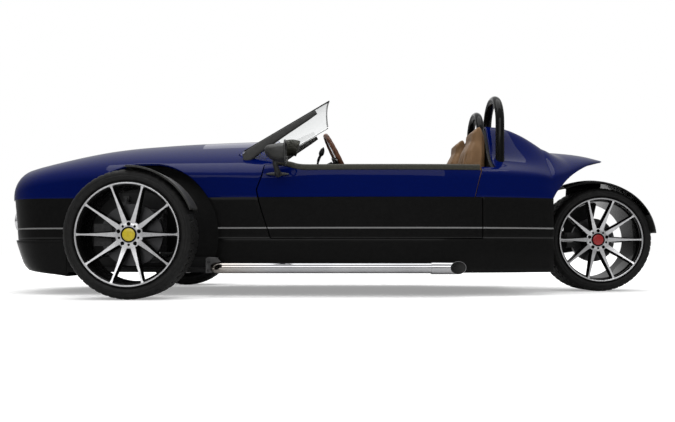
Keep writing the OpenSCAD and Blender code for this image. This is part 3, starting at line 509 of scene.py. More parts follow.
def turned_metal(name, colour, rough):
    """Metal with fine rings round the wheel's axis."""
    n = Nodes(name)
    fine = n.noise(420.0, 3.0, (1.0, 0.05, 1.0))
    n.set(Base_Color=n.mix(n.ramp(n.noise(25.0), 0.3, 0.7), rgb(*[c * 0.82 for c in colour]), rgb(*colour)),
          Roughness=n.ramp(fine, 0.3, 0.7, *rough), Normal=n.bump(fine, 0.03 * MM), Metallic=1.0)
    return n.mat


def rubber():
    n = Nodes("rubber")
    dust = n.ramp(n.noise(40.0, 6.0), 0.35, 0.7)
    n.set(Base_Color=n.mix(dust, rgb(*grey(0.0032)), rgb(0.0078, 0.0077, 0.0076)),
          Roughness=n.ramp(n.noise(90.0), 0.3, 0.7, 0.50, 0.68),
          Normal=n.bump(n.noise(700.0, 2.0), 0.15 * MM), Specular_IOR_Level=0.16)
    return n.mat


def lamp(name, colour):
    n = Nodes(name)
    ribs = n.new("TexWave", Vector=n.pos, Scale=60.0, Distortion=0.0).outputs[1]
    n.set(Base_Color=n.mix(n.ramp(ribs, 0.2, 0.8), rgb(*[c * 0.7 for c in colour]), rgb(*colour)),
          Roughness=n.ramp(n.noise(50.0), 0.3, 0.7, 0.06, 0.12), Normal=n.bump(ribs, 0.5 * MM), Coat_Weight=1.0)
    return n.mat


def exhaust_chrome():
    """Bright pipe, black and matte inside its slash-cut ends."""
    n = Nodes("exhaust_chrome")
    x, y, z = n.new("SeparateXYZ", Vector=n.pos).outputs
    off = n.math("POWER", n.math("SUBTRACT", n.math("ABSOLUTE", y), PIPE_Y * MM), 2.0)
    off = n.math("ADD", off, n.math("POWER", n.math("SUBTRACT", z, PIPE_Z * MM), 2.0))
    inside = n.math("MULTIPLY", n.math("LESS_THAN", off, (PIPE_BORE * MM) ** 2),
                    n.math("GREATER_THAN", x, PIPE_CUT_X * MM))
    heat = n.ramp(x, -0.65, -0.35)
    bright = n.mix(n.ramp(n.noise(5.0), 0.3, 0.7), rgb(0.32, 0.32, 0.33), rgb(0.38, 0.38, 0.39))
    bright = n.mix(heat, rgb(0.34, 0.31, 0.28), bright)
    n.set(Base_Color=n.mix(inside, bright, rgb(*grey(0.003))),
          Roughness=n.math("ADD", n.ramp(n.noise(20.0), 0.3, 0.7, 0.06, 0.12), n.math("MULTIPLY", inside, 0.7)),
          Metallic=n.math("SUBTRACT", 1.0, inside), Normal=n.bump(n.noise(30.0), 0.04 * MM))
    return n.mat


M = {
    "blue": blue_paint(),
    "black": body_black(),
    "gloss": finish_of("gloss_black", grey(0.0020), grey(0.0034), (0.2, 0.3), 14.0,
                       specular=0.03, coat=0.6),
    "satin": finish_of("satin_black", grey(0.0030), grey(0.0055), (0.35, 0.5), 45.0,
                       bump=(600.0, 0.05), specular=0.15),
    "grey": finish_of("dark_grey_plastic", (0.018, 0.018, 0.017), (0.028, 0.028, 0.027), (0.40, 0.52), 60.0,
                      bump=(500.0, 0.1), specular=0.25),
    "pad": finish_of("grained_pad", (0.022, 0.022, 0.016), (0.034, 0.033, 0.025), (0.5, 0.62), 90.0,
                     bump=(380.0, 0.35), specular=0.2),
    "frame": finish_of("frame_paint", (0.0040, 0.0040, 0.0042), (0.0085, 0.0085, 0.0088), (0.45, 0.6), 25.0,
                       bump=(260.0, 0.12), specular=0.2),
    "cast": finish_of("cast_metal", (0.030, 0.030, 0.032), grey(0.060), (0.45, 0.6), 35.0, 0.7,
                      bump=(320.0, 0.35)),
    "steel": finish_of("bare_steel", (0.30, 0.30, 0.31), (0.42, 0.42, 0.43), (0.25, 0.4), 40.0, 1.0,
                       bump=(500.0, 0.05)),
    "iron": finish_of("dark_iron", (0.014, 0.014, 0.0145), (0.030, 0.030, 0.031), (0.45, 0.6), 45.0, 0.5,
                      bump=(420.0, 0.2)),
    "chrome": finish_of("chrome", (0.52, 0.52, 0.53), (0.62, 0.62, 0.63), (0.06, 0.12), 6.0, 1.0,
                        bump=(30.0, 0.04)),
    "pipe": exhaust_chrome(),
    # Matte black for the windscreen's seals, and painted shade on the screen behind the grille's bars
    "soot": finish_of("soot", grey(0.002), grey(0.006), (0.7, 0.9), 60.0, specular=0.2),
    "face": turned_metal("machined_face", (0.53, 0.53, 0.54), (0.24, 0.4)),
    "disc": turned_metal("disc_face", (0.055, 0.055, 0.057), (0.30, 0.45)),
    "rubber": rubber(),
    "yellow": finish_of("yellow_cap", (0.39, 0.30, 0.004), (0.48, 0.38, 0.008), (0.25, 0.35), 80.0, coat=0.2),
    "red": finish_of("red_cap", (0.22, 0.001, 0.001), (0.30, 0.002, 0.002), (0.25, 0.35), 80.0, coat=0.2),
    "tan": leather("tan_leather", (0.125, 0.069, 0.031), (0.200, 0.118, 0.060)),
    "brown": leather("brown_leather", (0.050, 0.020, 0.010), (0.105, 0.042, 0.020), 1.3),
    "glass": glass(),
    "bracket": finish_of("bracket_grey", (0.040, 0.040, 0.041), (0.075, 0.075, 0.076), (0.4, 0.55), 30.0, 0.4,
                         bump=(300.0, 0.15)),
    "bright": finish_of("bright_bars", grey(0.80), grey(0.88), (0.22, 0.34), 50.0, 0.9),
    "mirror": finish_of("mirror_face", (0.6, 0.62, 0.64), (0.68, 0.7, 0.72), (0.02, 0.05), 5.0, 1.0),
    "clear": lamp("lamp_lens", (0.72, 0.74, 0.76)),
    "tail_red": lamp("tail_lens", (0.40, 0.006, 0.006)),
    "dial": finish_of("dial_face", (0.006, 0.006, 0.007), (0.012, 0.012, 0.013), (0.2, 0.3), 60.0),
}


def dress(node, key):
    """Gives a CAD node that stays its material."""
    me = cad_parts[node].data
    me.materials.clear()
    me.materials.append(M[key])


# ------------------------------------------------------------------ upper body

LOWER_ROWS, UPPER_ROWS = 14, 30
JOIN_X = -540.0
SHARE = (SCUTTLE_SIDE_Z - SPLIT_Z) / (crown_z(JOIN_X) - SPLIT_Z)


def arch_z(x):
    return FRONT_R + sqrt(max(ARCH_R ** 2 - (x - FRONT_X) ** 2, 0)) if abs(x - FRONT_X) < ARCH_R else 0


def roof_points(x, z0, width_at, top):
    """Points of a section from height z0 up to the crown, evenly spaced."""
    zs = z0 + (top - z0) * np.sin(np.linspace(0, pi / 2, 160))
    return resampled([(x, width_at(x, z), z) for z in zs], UPPER_ROWS)


def bonnet_right():
    g = Geo()
    xs = nose_stations(27)
    xs += list(np.arange(NOSE_X + 310, FRONT_X - ARCH_R + 40, 28))
    xs += list(FRONT_X - np.sqrt(ARCH_R ** 2 - np.linspace(150, 395, 26) ** 2))
    xs += list(FRONT_X + np.sqrt(ARCH_R ** 2 - np.linspace(395, 0, 40) ** 2))
    xs = sorted(x for x in xs if x < JOIN_X - 4) + [JOIN_X]
    columns = []
    for x in xs:
        low = max(SPLIT_Z + 0.3, arch_z(x))
        mid = low + (crown_z(x) - low) * SHARE
        column = [(x, bonnet_y(x, z), z) for z in np.linspace(low, mid, LOWER_ROWS)]
        columns.append(column[:-1] + list(roof_points(x, mid, bonnet_y, crown_z(x))))
    g.grid(columns)
    tip = [tuple(p) for p in columns[0]] + [(xs[0], 0, SPLIT_Z + 0.3)]
    g.add(tip, [tuple(range(len(tip)))])
    rows = []
    for z in np.linspace(SPLIT_Z + 0.3, SCUTTLE_SIDE_Z, LOWER_ROWS):
        rows.append([(x, bonnet_y(x, z), z) for x in np.linspace(JOIN_X, seam_x(z) - 7, 13)])
    g.grid(rows)
    corner = seam_x(SCUTTLE_SIDE_Z) - 7
    ends = list(np.linspace(JOIN_X, corner, 13)) + list(np.linspace(corner, SCUTTLE_X, 6)[1:])
    g.grid([roof_points(x, SCUTTLE_SIDE_Z, bonnet_y, crown_z(x)) for x in ends])
    return g


right = bonnet_right()
bonnet = build("bonnet_panel", right.join(right.mirrored()), "blue satin", slot="blue_paint",
               replaces=["bonnet"], weld=0.4, sharp=50)
solid(bonnet, TOP_T, rim=0, inner=1)
bevel(bonnet, 1.2, 60)


def tail_y(x, z):
    low, w = tail_edge(x)
    near = sum(tail_edge(x + d)[1] for d in range(-80, 81, 20)) / 9
    k = min(max((z - low) / 90, 0), 1)
    w += (near - w) * k * k * (3 - 2 * k)
    return roof_y(z, w, low, curve(RIDGES, x), curve(TAIL_UPRIGHTS, x), curve(TAIL_SQUARENESS, x))


def tail_right():
    g = Geo()
    xs = list(np.linspace(BULK_X, PANEL_X - 1.2, 26)) + list(PANEL_X + 431 * np.linspace(0, 1, 40) ** 1.25)
    columns = []
    for x in xs:
        low, w = tail_edge(x)
        top = curve(RIDGES, x)
        mid = low + (top - low) * (TAIL_SIDE_Z - SPLIT_Z) / (866 - SPLIT_Z)
        column = [(x, tail_y(x, z), z) for z in np.linspace(low + 0.3, mid, LOWER_ROWS)]
        column = column[:-1] + list(roof_points(x, mid, tail_y, top))
        columns.append([(a, b, c + hump(a, b) * min((c - low) / 60, 1)) for a, b, c in column])
    g.grid(columns)
    rows = []
    for z in np.linspace(SPLIT_Z + 0.3, TAIL_SIDE_Z, LOWER_ROWS):
        y = tail_y(BULK_X, z)
        top = z + hump(BULK_X, y) * min((z - SPLIT_Z) / 60, 1)
        rows.append([(x, y + (half_w(x) - half_w(BULK_X)), top)
                     for x in np.linspace(rear_seam_x(z) + 6, BULK_X, 9)])
    g.grid(rows)
    return g


right = tail_right()
tail = build("tail_panel", right.join(right.mirrored()), "blue satin", slot="blue_paint",
             replaces=["tail_deck"], weld=0.4, sharp=50)
solid(tail, TOP_T, rim=0, inner=1)
bevel(tail, 1.2, 60)

# ------------------------------------------------------------------ lower body


LIP_BACK = FRONT_X - ARCH_R - 35
LINER_R, LINER_Y = ARCH_R + 3, 246


def side_patch(z0, z1, from_x, to_x, columns, rows):
    """Sheet on the car's right side between two edges that depend on the height."""
    return [[(x, half_w(x), z) for x in np.linspace(from_x(z), to_x(z), columns)] for z in np.linspace(z0, z1, rows)]


def lower_right():
    g = Geo()

    def arch_back(z):
        return FRONT_X + arch_reach(z)

    sill = DOOR_LOW_Z - 6
    g.grid(side_patch(FLOOR_Z, sill, arch_back, lambda z: PANEL_X, 60, 9))
    g.grid(side_patch(sill, SPLIT_Z, arch_back, lambda z: seam_x(z) - 7, 14, 12))
    g.grid(side_patch(sill, SPLIT_Z, lambda z: DOOR_X1 + 6, lambda z: PANEL_X, 22, 12))
    g.grid(side_patch(FLOOR_Z, 300, lambda z: LIP_BACK, lambda z: FRONT_X - arch_reach(z), 5, 8))
    return g


lower = lower_right()
lower.join(lower.mirrored())
body_side = build("lower_panels", lower, "black satin", slot="black_body", weld=0.4, sharp=40)
solid(body_side, SIDE_T, rim=0, inner=1)
bevel(body_side, 1.0, 60)

# Sills behind the doors' lower seams, and liners inside the front wheel arches
for side, word in SIDES:
    g = Geo()
    rows = []
    for off, z in ((62, 331), (63, 333), (69, 333), (70, 331), (70, 268), (27, 268), (27, 300), (60, 300), (62, 303)):
        rows.append([(x, half_w(x) - off, z) for x in np.linspace(DOOR_X0 + 96, DOOR_X1 + 60, 50)])
    g.grid(rows + rows[:1])
    for x_end in (0, 49):
        g.f.append(tuple(r * 50 + x_end for r in range(9)))
        g.m.append(0)
    build("sill_" + word, g.on_side(side), "satin", slot="black_body", sharp=40)
    g = Geo()
    rows = []
    for deg in np.linspace(-14, 194, 90):
        a = radians(deg)
        x, z = FRONT_X + LINER_R * cos(a), FRONT_R + LINER_R * sin(a)
        reach = (half_w(x) if z < SPLIT_Z else bonnet_y(x, z)) - (31 if z < SPLIT_Z else 14)
        rows.append([(x, y, z) for y in np.linspace(LINER_Y, reach, 12)])
    g.grid(rows)
    flat = [(FRONT_X - 391, LINER_Y, 156)] + [(row[0][0], LINER_Y, row[0][2]) for row in rows[::-1]]
    flat.append((FRONT_X + 391, LINER_Y, 156))
    g.add(flat, [tuple(range(len(flat)))])
    arch_panel = build("arch_liner_" + word, g.on_side(side), "satin", slot="black_body", sharp=40)
    solid(arch_panel, 3)
    holes = Geo()
    y0, y1 = sorted((side * (LINER_Y - 16), side * (LINER_Y + 16)))
    for r, x, z in ((62, FRONT_X, FRONT_R), (40, RACK_X, RACK_Z)):
        holes.turned([(0.01, y0), (r, y0), (r, y1), (0.01, y1)], (x, 0, z), steps=40)
    cut(arch_panel, holes)
    shade(arch_panel.data, 40)


def set_back(z, x):
    """How far the nose stands behind the bonnet's edge at height z, fading out along the side."""
    return (8 + 20 * (SPLIT_Z - z) / 225) * max(0, 1 - (x - NOSE_X) / NOSE_ROUND)


nose = Geo()
rows = []
for z in np.linspace(300, SPLIT_Z, 16):
    xs = nose_stations(27) + list(np.linspace(NOSE_X + 310, FRONT_X - arch_reach(z), 12))
    half = [(x + set_back(z, x), half_w(x), z) for x in xs]
    rows.append([(x, -y, z) for x, y, z in reversed(half)] + half)
nose.grid(rows)
nose_side = build("nose_panel", nose, "black satin", slot="black_body", sharp=40,
                  replaces=["lower_body"])
solid(nose_side, SIDE_T, rim=0, inner=1)
GRILLE_W, GRILLE_Z0, GRILLE_Z1, GRILLE_R = 600, 316, 507, 55
GRILLE_MID = (GRILLE_Z0 + GRILLE_Z1) / 2


def rounded_rect(w, h, r, steps=8):
    out = []
    for k, (sx, sz) in enumerate([(1, 1), (-1, 1), (-1, -1), (1, -1)]):
        for a in np.linspace(0, 90, steps):
            t = radians(a + 90 * k)
            out.append((sx * (w / 2 - r) + r * cos(t), sz * (h / 2 - r) + r * sin(t)))
    return out


hole = Geo()
ring = rounded_rect(GRILLE_W, GRILLE_Z1 - GRILLE_Z0, GRILLE_R)
n = len(ring)
hole.add([(NOSE_X - 20, y, GRILLE_MID + z) for y, z in ring] + [(NOSE_X + 170, y, GRILLE_MID + z) for y, z in ring],
         [(i, (i + 1) % n, n + (i + 1) % n, n + i) for i in range(n)]
         + [tuple(range(n - 1, -1, -1)), tuple(range(n, 2 * n))])
cut(nose_side, hole)
shade(nose_side.data, 40)
bevel(nose_side, 1.5, 50)


def nose_x_at(y, z):
    """Station where the body is as wide as y at height z, on the rounded nose."""
    lo, hi = NOSE_X + 0.35, NOSE_X + NOSE_ROUND
    for _ in range(40):
        mid = (lo + hi) / 2
        lo, hi = (mid, hi) if half_w(mid) < abs(y) else (lo, mid)
    return lo + set_back(z, lo)


def corner_drop(inward):
    """How much a bar is shortened at this distance in from the grille's edge."""
    return GRILLE_R - sqrt(max(GRILLE_R ** 2 - (GRILLE_R - inward) ** 2, 0)) if inward < GRILLE_R else 0


# Grille: bright woven bars over a dark screen, inside a rim. The dark screen is painted shade standing in for the
# shaded inside of the nose
grille = Geo()
for k in range(13):
    z = GRILLE_Z0 + 14 + k * (GRILLE_Z1 - GRILLE_Z0 - 28) / 12
    reach = GRILLE_W / 2 - 6 - corner_drop(min(z - GRILLE_Z0, GRILLE_Z1 - z))
    grille.tube([(nose_x_at(y, z) + 4, y, z) for y in np.linspace(-reach, reach, 41)], 3.2, 0, 8)
for y in np.linspace(-GRILLE_W / 2 + 22, GRILLE_W / 2 - 22, 31):
    h = 8 + corner_drop(GRILLE_W / 2 - abs(y))
    grille.tube([(nose_x_at(y, z) + 8, y, z) for z in (GRILLE_Z0 + h, GRILLE_MID, GRILLE_Z1 - h)], 2.2, 0, 8)
rim_path = [(nose_x_at(y, GRILLE_MID + z) + 5, y, GRILLE_MID + z)
            for y, z in rounded_rect(GRILLE_W - 10, GRILLE_Z1 - GRILLE_Z0 - 10, GRILLE_R - 5, 10)]
grille.tube(rim_path + rim_path[:1], 5, 0, 10)
# Dark screen behind the bars: painted shade for the inside of the nose
grille.grid([[(nose_x_at(y, z) + 18, y, z) for y in np.linspace(-292, 292, 40)]
             for z in np.linspace(GRILLE_Z0 + 4, GRILLE_Z1 - 4, 6)], 1)
build("grille_mesh", grille, "bright soot", slot="grille_mesh", replaces=["nose_grille"],
      recalc=False)

# Chin below the grille, drawn in towards the ground
lip = Geo()
rows = []
section = [(14, 299.5), (18, 284), (24, 266), (32, 244), (43, 210), (56, 176), (72, 151), (92, 132), (125, 123.5),
           (164, 118), (210, 113.5), (256, 110), (320, 105), (380, 101), (400, 100.5)]
for k, (draw, z) in enumerate(section):
    xs = nose_stations(23) + list(np.linspace(NOSE_X + 320, LIP_BACK, 6))
    half = []
    for x in xs:
        u = (x - NOSE_X) / (LIP_BACK - NOSE_X)
        half.append((x + draw * (1 - u), max(half_w(x) - 1.1 * k * (0.3 + 0.7 * u), 2), z))
    rows.append([(x, -y, z) for x, y, z in reversed(half)] + half)
lip.grid(rows)
chin = build("chin_panel", lip, "black satin", slot="black_body", replaces=["front_lip"], sharp=50)
solid(chin, 5, rim=0, inner=1)

# ------------------------------------------------------------------ doors


def door_roll(x, z):
    """How far the door's top leans in."""
    reach = curve([[DOOR_X0, 46], [-200, 17], [150, 14], [500, 18], [DOOR_X1, 34]], x)
    t = min(max((z - 620) / 77, 0), 1)
    return reach * (1 - sqrt(1 - min(t, 0.995) ** 2))


def door_top(x):
    return curve([[DOOR_X0, 697], [-330, 697], [-200, 669], [-100, 667], [DOOR_X1, 667]], x)


def door_geo():
    skin = Geo()
    rows = []
    for t in np.linspace(0, 1, 15):
        row = []
        for s in np.linspace(0, 1, 60):
            x = -200 + 900 * s
            for _ in range(4):
                z = SPLIT_Z + 0.6 + (door_top(x) - SPLIT_Z - 0.6) * t
                x = seam_x(z) + (rear_seam_x(z) - seam_x(z)) * s
            row.append((x, half_w(x) - door_roll(x, z), z))
        rows.append(row)
    skin.grid(rows)
    return skin.grid(side_patch(DOOR_LOW_Z, SPLIT_Z - 0.6, seam_x, lambda z: DOOR_X1, 60, 12), 1)


def door(side, word):
    """One door with its padded top edge and its hinge pin."""
    body = word + "_door"
    ob = build("door_panel_" + word, door_geo().on_side(side), "blue black satin satin", body,
               "blue_paint", ["door_" + word], weld=0, recalc=False)
    flip_where(ob.data, lambda p: p.normal.y * side < 0)
    ob.data.update()
    solid(ob, DOOR_T, inner=2)
    hx, hy = HINGE
    plan = [(hx + 14, hy - 90), (hx + 12, hy + 4), (hx + 7, hy + 7.8), (hx - 7, hy + 7.8), (hx - 60, hy - 8),
            (DOOR_X0 - 40, hy - 30), (DOOR_X0 - 40, hy - 90)]
    n = len(plan)
    slot = Geo().add([(x, side * y, z) for z in HINGE_SLOT for x, y in plan],
                     [tuple(range(n)), tuple(range(2 * n - 1, n - 1, -1))]
                     + [(i, (i + 1) % n, n + (i + 1) % n, n + i) for i in range(n)])
    cut(ob, slot)
    shade(ob.data, 40)
    bevel(ob, 1.0, 60)
    trim = Geo()
    path = [(-352, 520, 716), (-300, 530, 709), (-255, 537, 697), (-215, 541, 686), (-170, 544, 682.5)]
    path += [(x, half_w(x) - door_roll(x, 667) - 27, 682) for x in np.linspace(-100, 745, 14)]
    pts = smooth_path(path, 5)
    rings = []
    for i, p in enumerate(pts):
        grow = min(1, 0.45 + i / 18)
        w, h = 30 * min(1, 0.6 + i / 30), 17.5 * grow
        rings.append([(p[0], p[1] + w * signed(cos(a), 0.6), p[2] + h * signed(sin(a), 0.6))
                      for a in around(24)])
    trim.loft(rings)
    build("door_pad_" + word, trim.on_side(side), "pad", body, "black_trim", sharp=50)
    pin = Geo()
    pin.tube([(hx, side * hy, HINGE_SLOT[0] - 6), (hx, side * hy, HINGE_SLOT[1] + 6)], 4, 0, 20)
    build("hinge_pin_" + word, pin, "steel", body, "disc_steel")


for side, word in SIDES:
    door(side, word)


def mirror(side, word):
    """Foot on the door, arm and head with its glass."""
    mx, my, mz = DOOR_X0 + 114, half_w(DOOR_X0 + 178), 645
    g = Geo()
    rings = []
    for dy, w, h in ((0.5, 62, 8), (8, 63.5, 9.5), (16, 60, 9), (22, 48, 7), (26, 26, 5)):
        rings.append([(mx + w * cos(a), my - 1 + dy, mz + h * sin(a)) for a in around(40)])
    g.loft(rings)
    path = smooth_path([(mx + 4, my + 14, mz), (mx + 2, my + 60, mz + 12), (mx - 6, my + 105, mz + 44),
                        (mx - 2, my + 128, mz + 72)], 8)
    g.tube(path, [19 - 6 * sin(pi * i / 32) for i in range(len(path))], 0, 20)
    rings = []
    cy, cz = my + 150, mz + 93
    for x, w, h in ((-56, 8, 4), (-54, 34, 14), (-46, 58, 24), (-32, 76, 33), (-10, 87, 41), (20, 91, 46),
                    (43, 91, 47), (44, 94, 62), (46, 96, 65), (51, 96, 65), (52, 94, 63), (52, 86, 56), (48, 86, 56)):
        lift = cz + max(0, 14 - 0.35 * (x + 56)) * 0.8
        rings.append([(mx + x, cy + w * signed(cos(a), 0.8), lift + h * signed(sin(a), 0.8))
                      for a in around(48)])
    g.loft(rings, 0, [0, 1])
    build("mirror_head_" + word, g.on_side(side), "grey mirror", word + "_door", "black_trim",
          ["mirror_" + word], sharp=50)


for side, word in SIDES:
    mirror(side, word)

# ------------------------------------------------------------------ windscreen

SLOPE = radians(30.5)
GLASS_TOP = (-49.8, 1064.0)


def on_glass(d, o):
    """Point at distance d down the glass and o below its upper face, in the side view."""
    return (GLASS_TOP[0] - d * cos(SLOPE) + o * sin(SLOPE),
            GLASS_TOP[1] - d * sin(SLOPE) - o * cos(SLOPE))


def glass_bow(y):
    """How far the middle of the pane stands ahead of its edges."""
    return -22 * (1 - (y / 432) ** 2)


pane = Geo()
rows = []
for t in np.linspace(0, 1, 30):
    row = []
    for y in np.linspace(-431, 431, 41):
        lo, hi = 60.0, 700.0
        for _ in range(26):
            mid = (lo + hi) / 2
            x, z = on_glass(mid, glass_bow(y) + 1)
            inside = z < crown_z(x) and bonnet_y(x, z) > abs(y) if x < SCUTTLE_X else z < 700
            lo, hi = (lo, mid) if inside else (mid, hi)
        lo = min(lo, 546 + 3 * max(400 - abs(y), 0))
        corner = 26 - sqrt(max(26 ** 2 - max(abs(y) - 405, 0) ** 2, 0))
        d = corner + (lo - 1 - corner) * t
        x, z = on_glass(d, glass_bow(y))
        row.append((x, y, z))
    rows.append(row)
pane.grid(rows)
screen = build("screen_glass", pane, "glass", slot="clear_glass", replaces=["windscreen"], sharp=60)
solid(screen, 4.5)

bars = Geo()
for i in range(2):
    g = Geo()
    rings = []
    for d, lo, hi in ((97, 3, 26), (150, 1.5, 31), (300, 0.5, 40), (420, 0.5, 50), (500, 0.5, 58), (540, 2, 62),
                      (560, 12, 58), (568, 28, 44)):
        mid, half = (lo + hi) / 2, (hi - lo) / 2
        ring = []
        for a in around(20):
            x, z = on_glass(d, 6 + mid + half * signed(sin(a), 0.55))
            ring.append((x, 445 + 13 * signed(cos(a), 0.55), z))
        rings.append(ring)
    g.loft([list(ring) for ring in zip(*[resampled(line, 28) for line in zip(*rings)])])
    bars.join(g if i else g.mirrored())
for side in (-1, 1):
    seal = [(*on_glass(d, 3), side * 433.5) for d in np.linspace(3, 545, 12)]
    bars.tube([(x, y, z) for x, z, y in seal], 3.6, 1, 8)
build("screen_bars", bars, "grey soot", slot="black_trim", replaces=["windscreen_frame"], sharp=50)

# ------------------------------------------------------------------ cabin


def scuttle_z(y):
    """Height of the bonnet's rear edge at distance y from the middle."""
    lo, hi = 640.0, 903.0
    for _ in range(30):
        mid = (lo + hi) / 2
        lo, hi = (mid, hi) if bonnet_y(-345, mid) > abs(y) else (lo, mid)
    return lo


dash = Geo()
rings = []
for x, drop, low in ((-344, 2.5, 700), (-338, 5, 660), (-330, 9, 648), (-316, 17, 642), (-306, 32, 641),
                     (-304, 60, 641)):
    rings.append([(x, y, max(scuttle_z(y) - 10 - drop, low + 4)) for y in np.linspace(-448, 448, 60)])
rows = [[(-390, p[1], p[2] + 2) for p in rings[0]]] + rings
rows += [[(-306, p[1], 640 + (p[2] - 640) * k) for p in rings[-1]] for k in (0.66, 0.33, 0.02)]
rows += [[(-330, p[1], 636) for p in rings[-1]], [(-418, p[1], 640) for p in rings[-1]]]
dash.grid(rows)
for side in (-1, 1):
    dash.box((-347, min(side * 440, side * 543), 649), (-333, max(side * 440, side * 543), 661), 1)
    dash.turned([(4.3, 648.5), (7.2, 648.5), (7.2, 661.5), (4.3, 661.5)], (HINGE[0], side * HINGE[1], 0),
                (0, 0, 1), 32, 1)
for y, r in ((-240, 52), (-140, 34), (-345, 34)):
    dash.turned([(r - 8, -4), (r, -4), (r + 1, 4), (r - 2, 9), (r - 8, 6)], (-306, y, 768), (1, 0, 0), 48, 2)
    dash.turned([(0.01, 0), (r - 7, 0), (r - 7, 3), (0.01, 3)], (-306, y, 768), (1, 0, 0), 48, 3)
    dash.box((-302.6, y - 1, 768), (-302.0, y + 1, 768 + r * 0.7), 4)
dash.tube(smooth_path([(-306, -240, 828), (-262, -240, 834), (-225, -240, 826)], 6), [4] + [46] * 11 + [20], 0, 24)
dashboard = build("dash_panel", dash, "pad frame chrome dial red",
                  slot="black_trim", replaces=["dashboard"], sharp=45)
bevel(dashboard, 1.0, 50)

RAKE = radians(26.6)
WHEEL_C = Vector((2.2, -240, 753))
COLUMN = Vector((cos(RAKE), 0, sin(RAKE)))
ACROSS = Vector((0, 1, 0))
UP = COLUMN.cross(ACROSS)


def spoke_axes(a):
    """Directions out along the steering wheel's radius, and round its rim, at angle a."""
    return cos(a) * UP + sin(a) * ACROSS, -sin(a) * UP + cos(a) * ACROSS


wheel = Geo()
path = [WHEEL_C + 163 * spoke_axes(a)[0] for a in np.linspace(0, 2 * pi, 97)]
wheel.tube(path, [12.6 + 0.5 * cos(i * pi / 2) for i in range(97)], 0, 20)
for a in np.radians(np.arange(0, 360, 4)):
    d, e = spoke_axes(a)
    p = WHEEL_C + 150.6 * d
    wheel.tube([p - 2.2 * e + COLUMN * 1.5, p + 2.2 * e - COLUMN * 1.5], 0.9, 3, 6)
for a in np.radians([0, 100, 260]):
    d, e = spoke_axes(a)
    rows = []
    for r, w, dip in ((22, 24, -6), (60, 15, -6), (100, 12, -5), (135, 13, -3), (154, 18, -1)):
        c = WHEEL_C + r * d + COLUMN * dip
        rows.append([tuple(c + sx * w * e + sz * 3 * COLUMN) for sx, sz in ((-1, -1), (1, -1), (1, 1), (-1, 1))])
    wheel.loft(rows, 1)
wheel.turned([(0.01, -28), (33, -28), (34, -20), (34, -2), (30, 6), (20, 9), (0.01, 10)], WHEEL_C, COLUMN, 48, 2)
wheel.turned([(23, 7), (26, 7.5), (26, 10), (23, 10.5)], WHEEL_C, COLUMN, 48, 1)
build("steering_rim", wheel, "brown steel satin tan", "steering_wheel", "wheel_leather",
      ["steering_wheel"], sharp=45)

stalk = Geo()
stalk.tube(smooth_path([(-120, -252, 700), (-112, -285, 752), (-95, -300, 790), (-82, -303, 826)], 6),
           [6] * 6 + [8] * 5 + [13, 15, 15, 14, 12, 9, 5, 2], 0, 16)
stalk.turned([(17.5, 0), (30, 2), (33, 20), (33, 52), (28, 60), (17.5, 62)], WHEEL_C - COLUMN * 150, COLUMN, 40, 1)
build("column_stalk", stalk, "satin satin", slot="black_trim")

# ------------------------------------------------------------------ seats

SEAT_X0, SEAT_Z0 = DOOR_X1 - 520, 150.3


def pad_form(outline, half, name):
    """Closed block with rounded edges, a little inside the cushion's real size."""
    g = Geo()
    g.prism(outline, -half, half)
    ob = mesh_object(name, g)
    face_outside(ob.data)
    modifier(ob, "BEVEL", width=26 * MM, segments=4, limit_method="ANGLE", angle_limit=radians(40))
    modifier(ob, "REMESH", mode="VOXEL", voxel_size=0.0078)
    apply_all(ob)
    return ob


def inflate(ob, cap, frames=20):
    """Lets the pad swell like a stuffed cover, no point further than cap."""
    rest = np.array([v.co for v in ob.data.vertices])
    m = ob.modifiers.new("cloth", "CLOTH")
    s = m.settings
    s.quality = 5
    s.mass = 0.3
    s.use_pressure = True
    s.uniform_pressure_force = 4
    s.tension_stiffness = s.compression_stiffness = 30
    s.bending_stiffness = 2
    s.effector_weights.gravity = 0
    m.collision_settings.use_collision = False
    scene.frame_start, scene.frame_end = 1, frames
    m.point_cache.frame_start, m.point_cache.frame_end = 1, frames
    for f in range(1, frames + 1):
        scene.frame_set(f)
    apply_all(ob)
    scene.frame_set(1)
    now = np.array([v.co for v in ob.data.vertices])
    d = now - rest
    edges = np.array([e.vertices[:] for e in ob.data.edges])
    count = np.bincount(edges.ravel(), minlength=len(d))[:, None]
    for _ in range(14):
        near = np.zeros_like(d)
        np.add.at(near, edges[:, 0], d[edges[:, 1]])
        np.add.at(near, edges[:, 1], d[edges[:, 0]])
        d = 0.4 * d + 0.6 * near / np.maximum(count, 1)
    length = np.linalg.norm(d, axis=1, keepdims=True)
    now = rest + d * np.minimum(1, cap * MM / np.maximum(length, 1e-9))
    ob.data.vertices.foreach_set("co", now.ravel())
    ob.data.update()


def channels(ob, lines, width, depth, keep):
    """Presses sewn channels into the cover along lines of constant Y."""
    co = np.array([v.co for v in ob.data.vertices])
    no = np.array([v.normal for v in ob.data.vertices])
    weight = keep(co, no)
    for y in lines:
        co -= no * (depth * MM * np.exp(-((co[:, 1] / MM - y) / width) ** 2) * weight)[:, None]
    ob.data.vertices.foreach_set("co", co.ravel())
    ob.data.update()


def smoothstep(x, a, b):
    t = np.clip((x - a) / (b - a), 0, 1)
    return t * t * (3 - 2 * t)


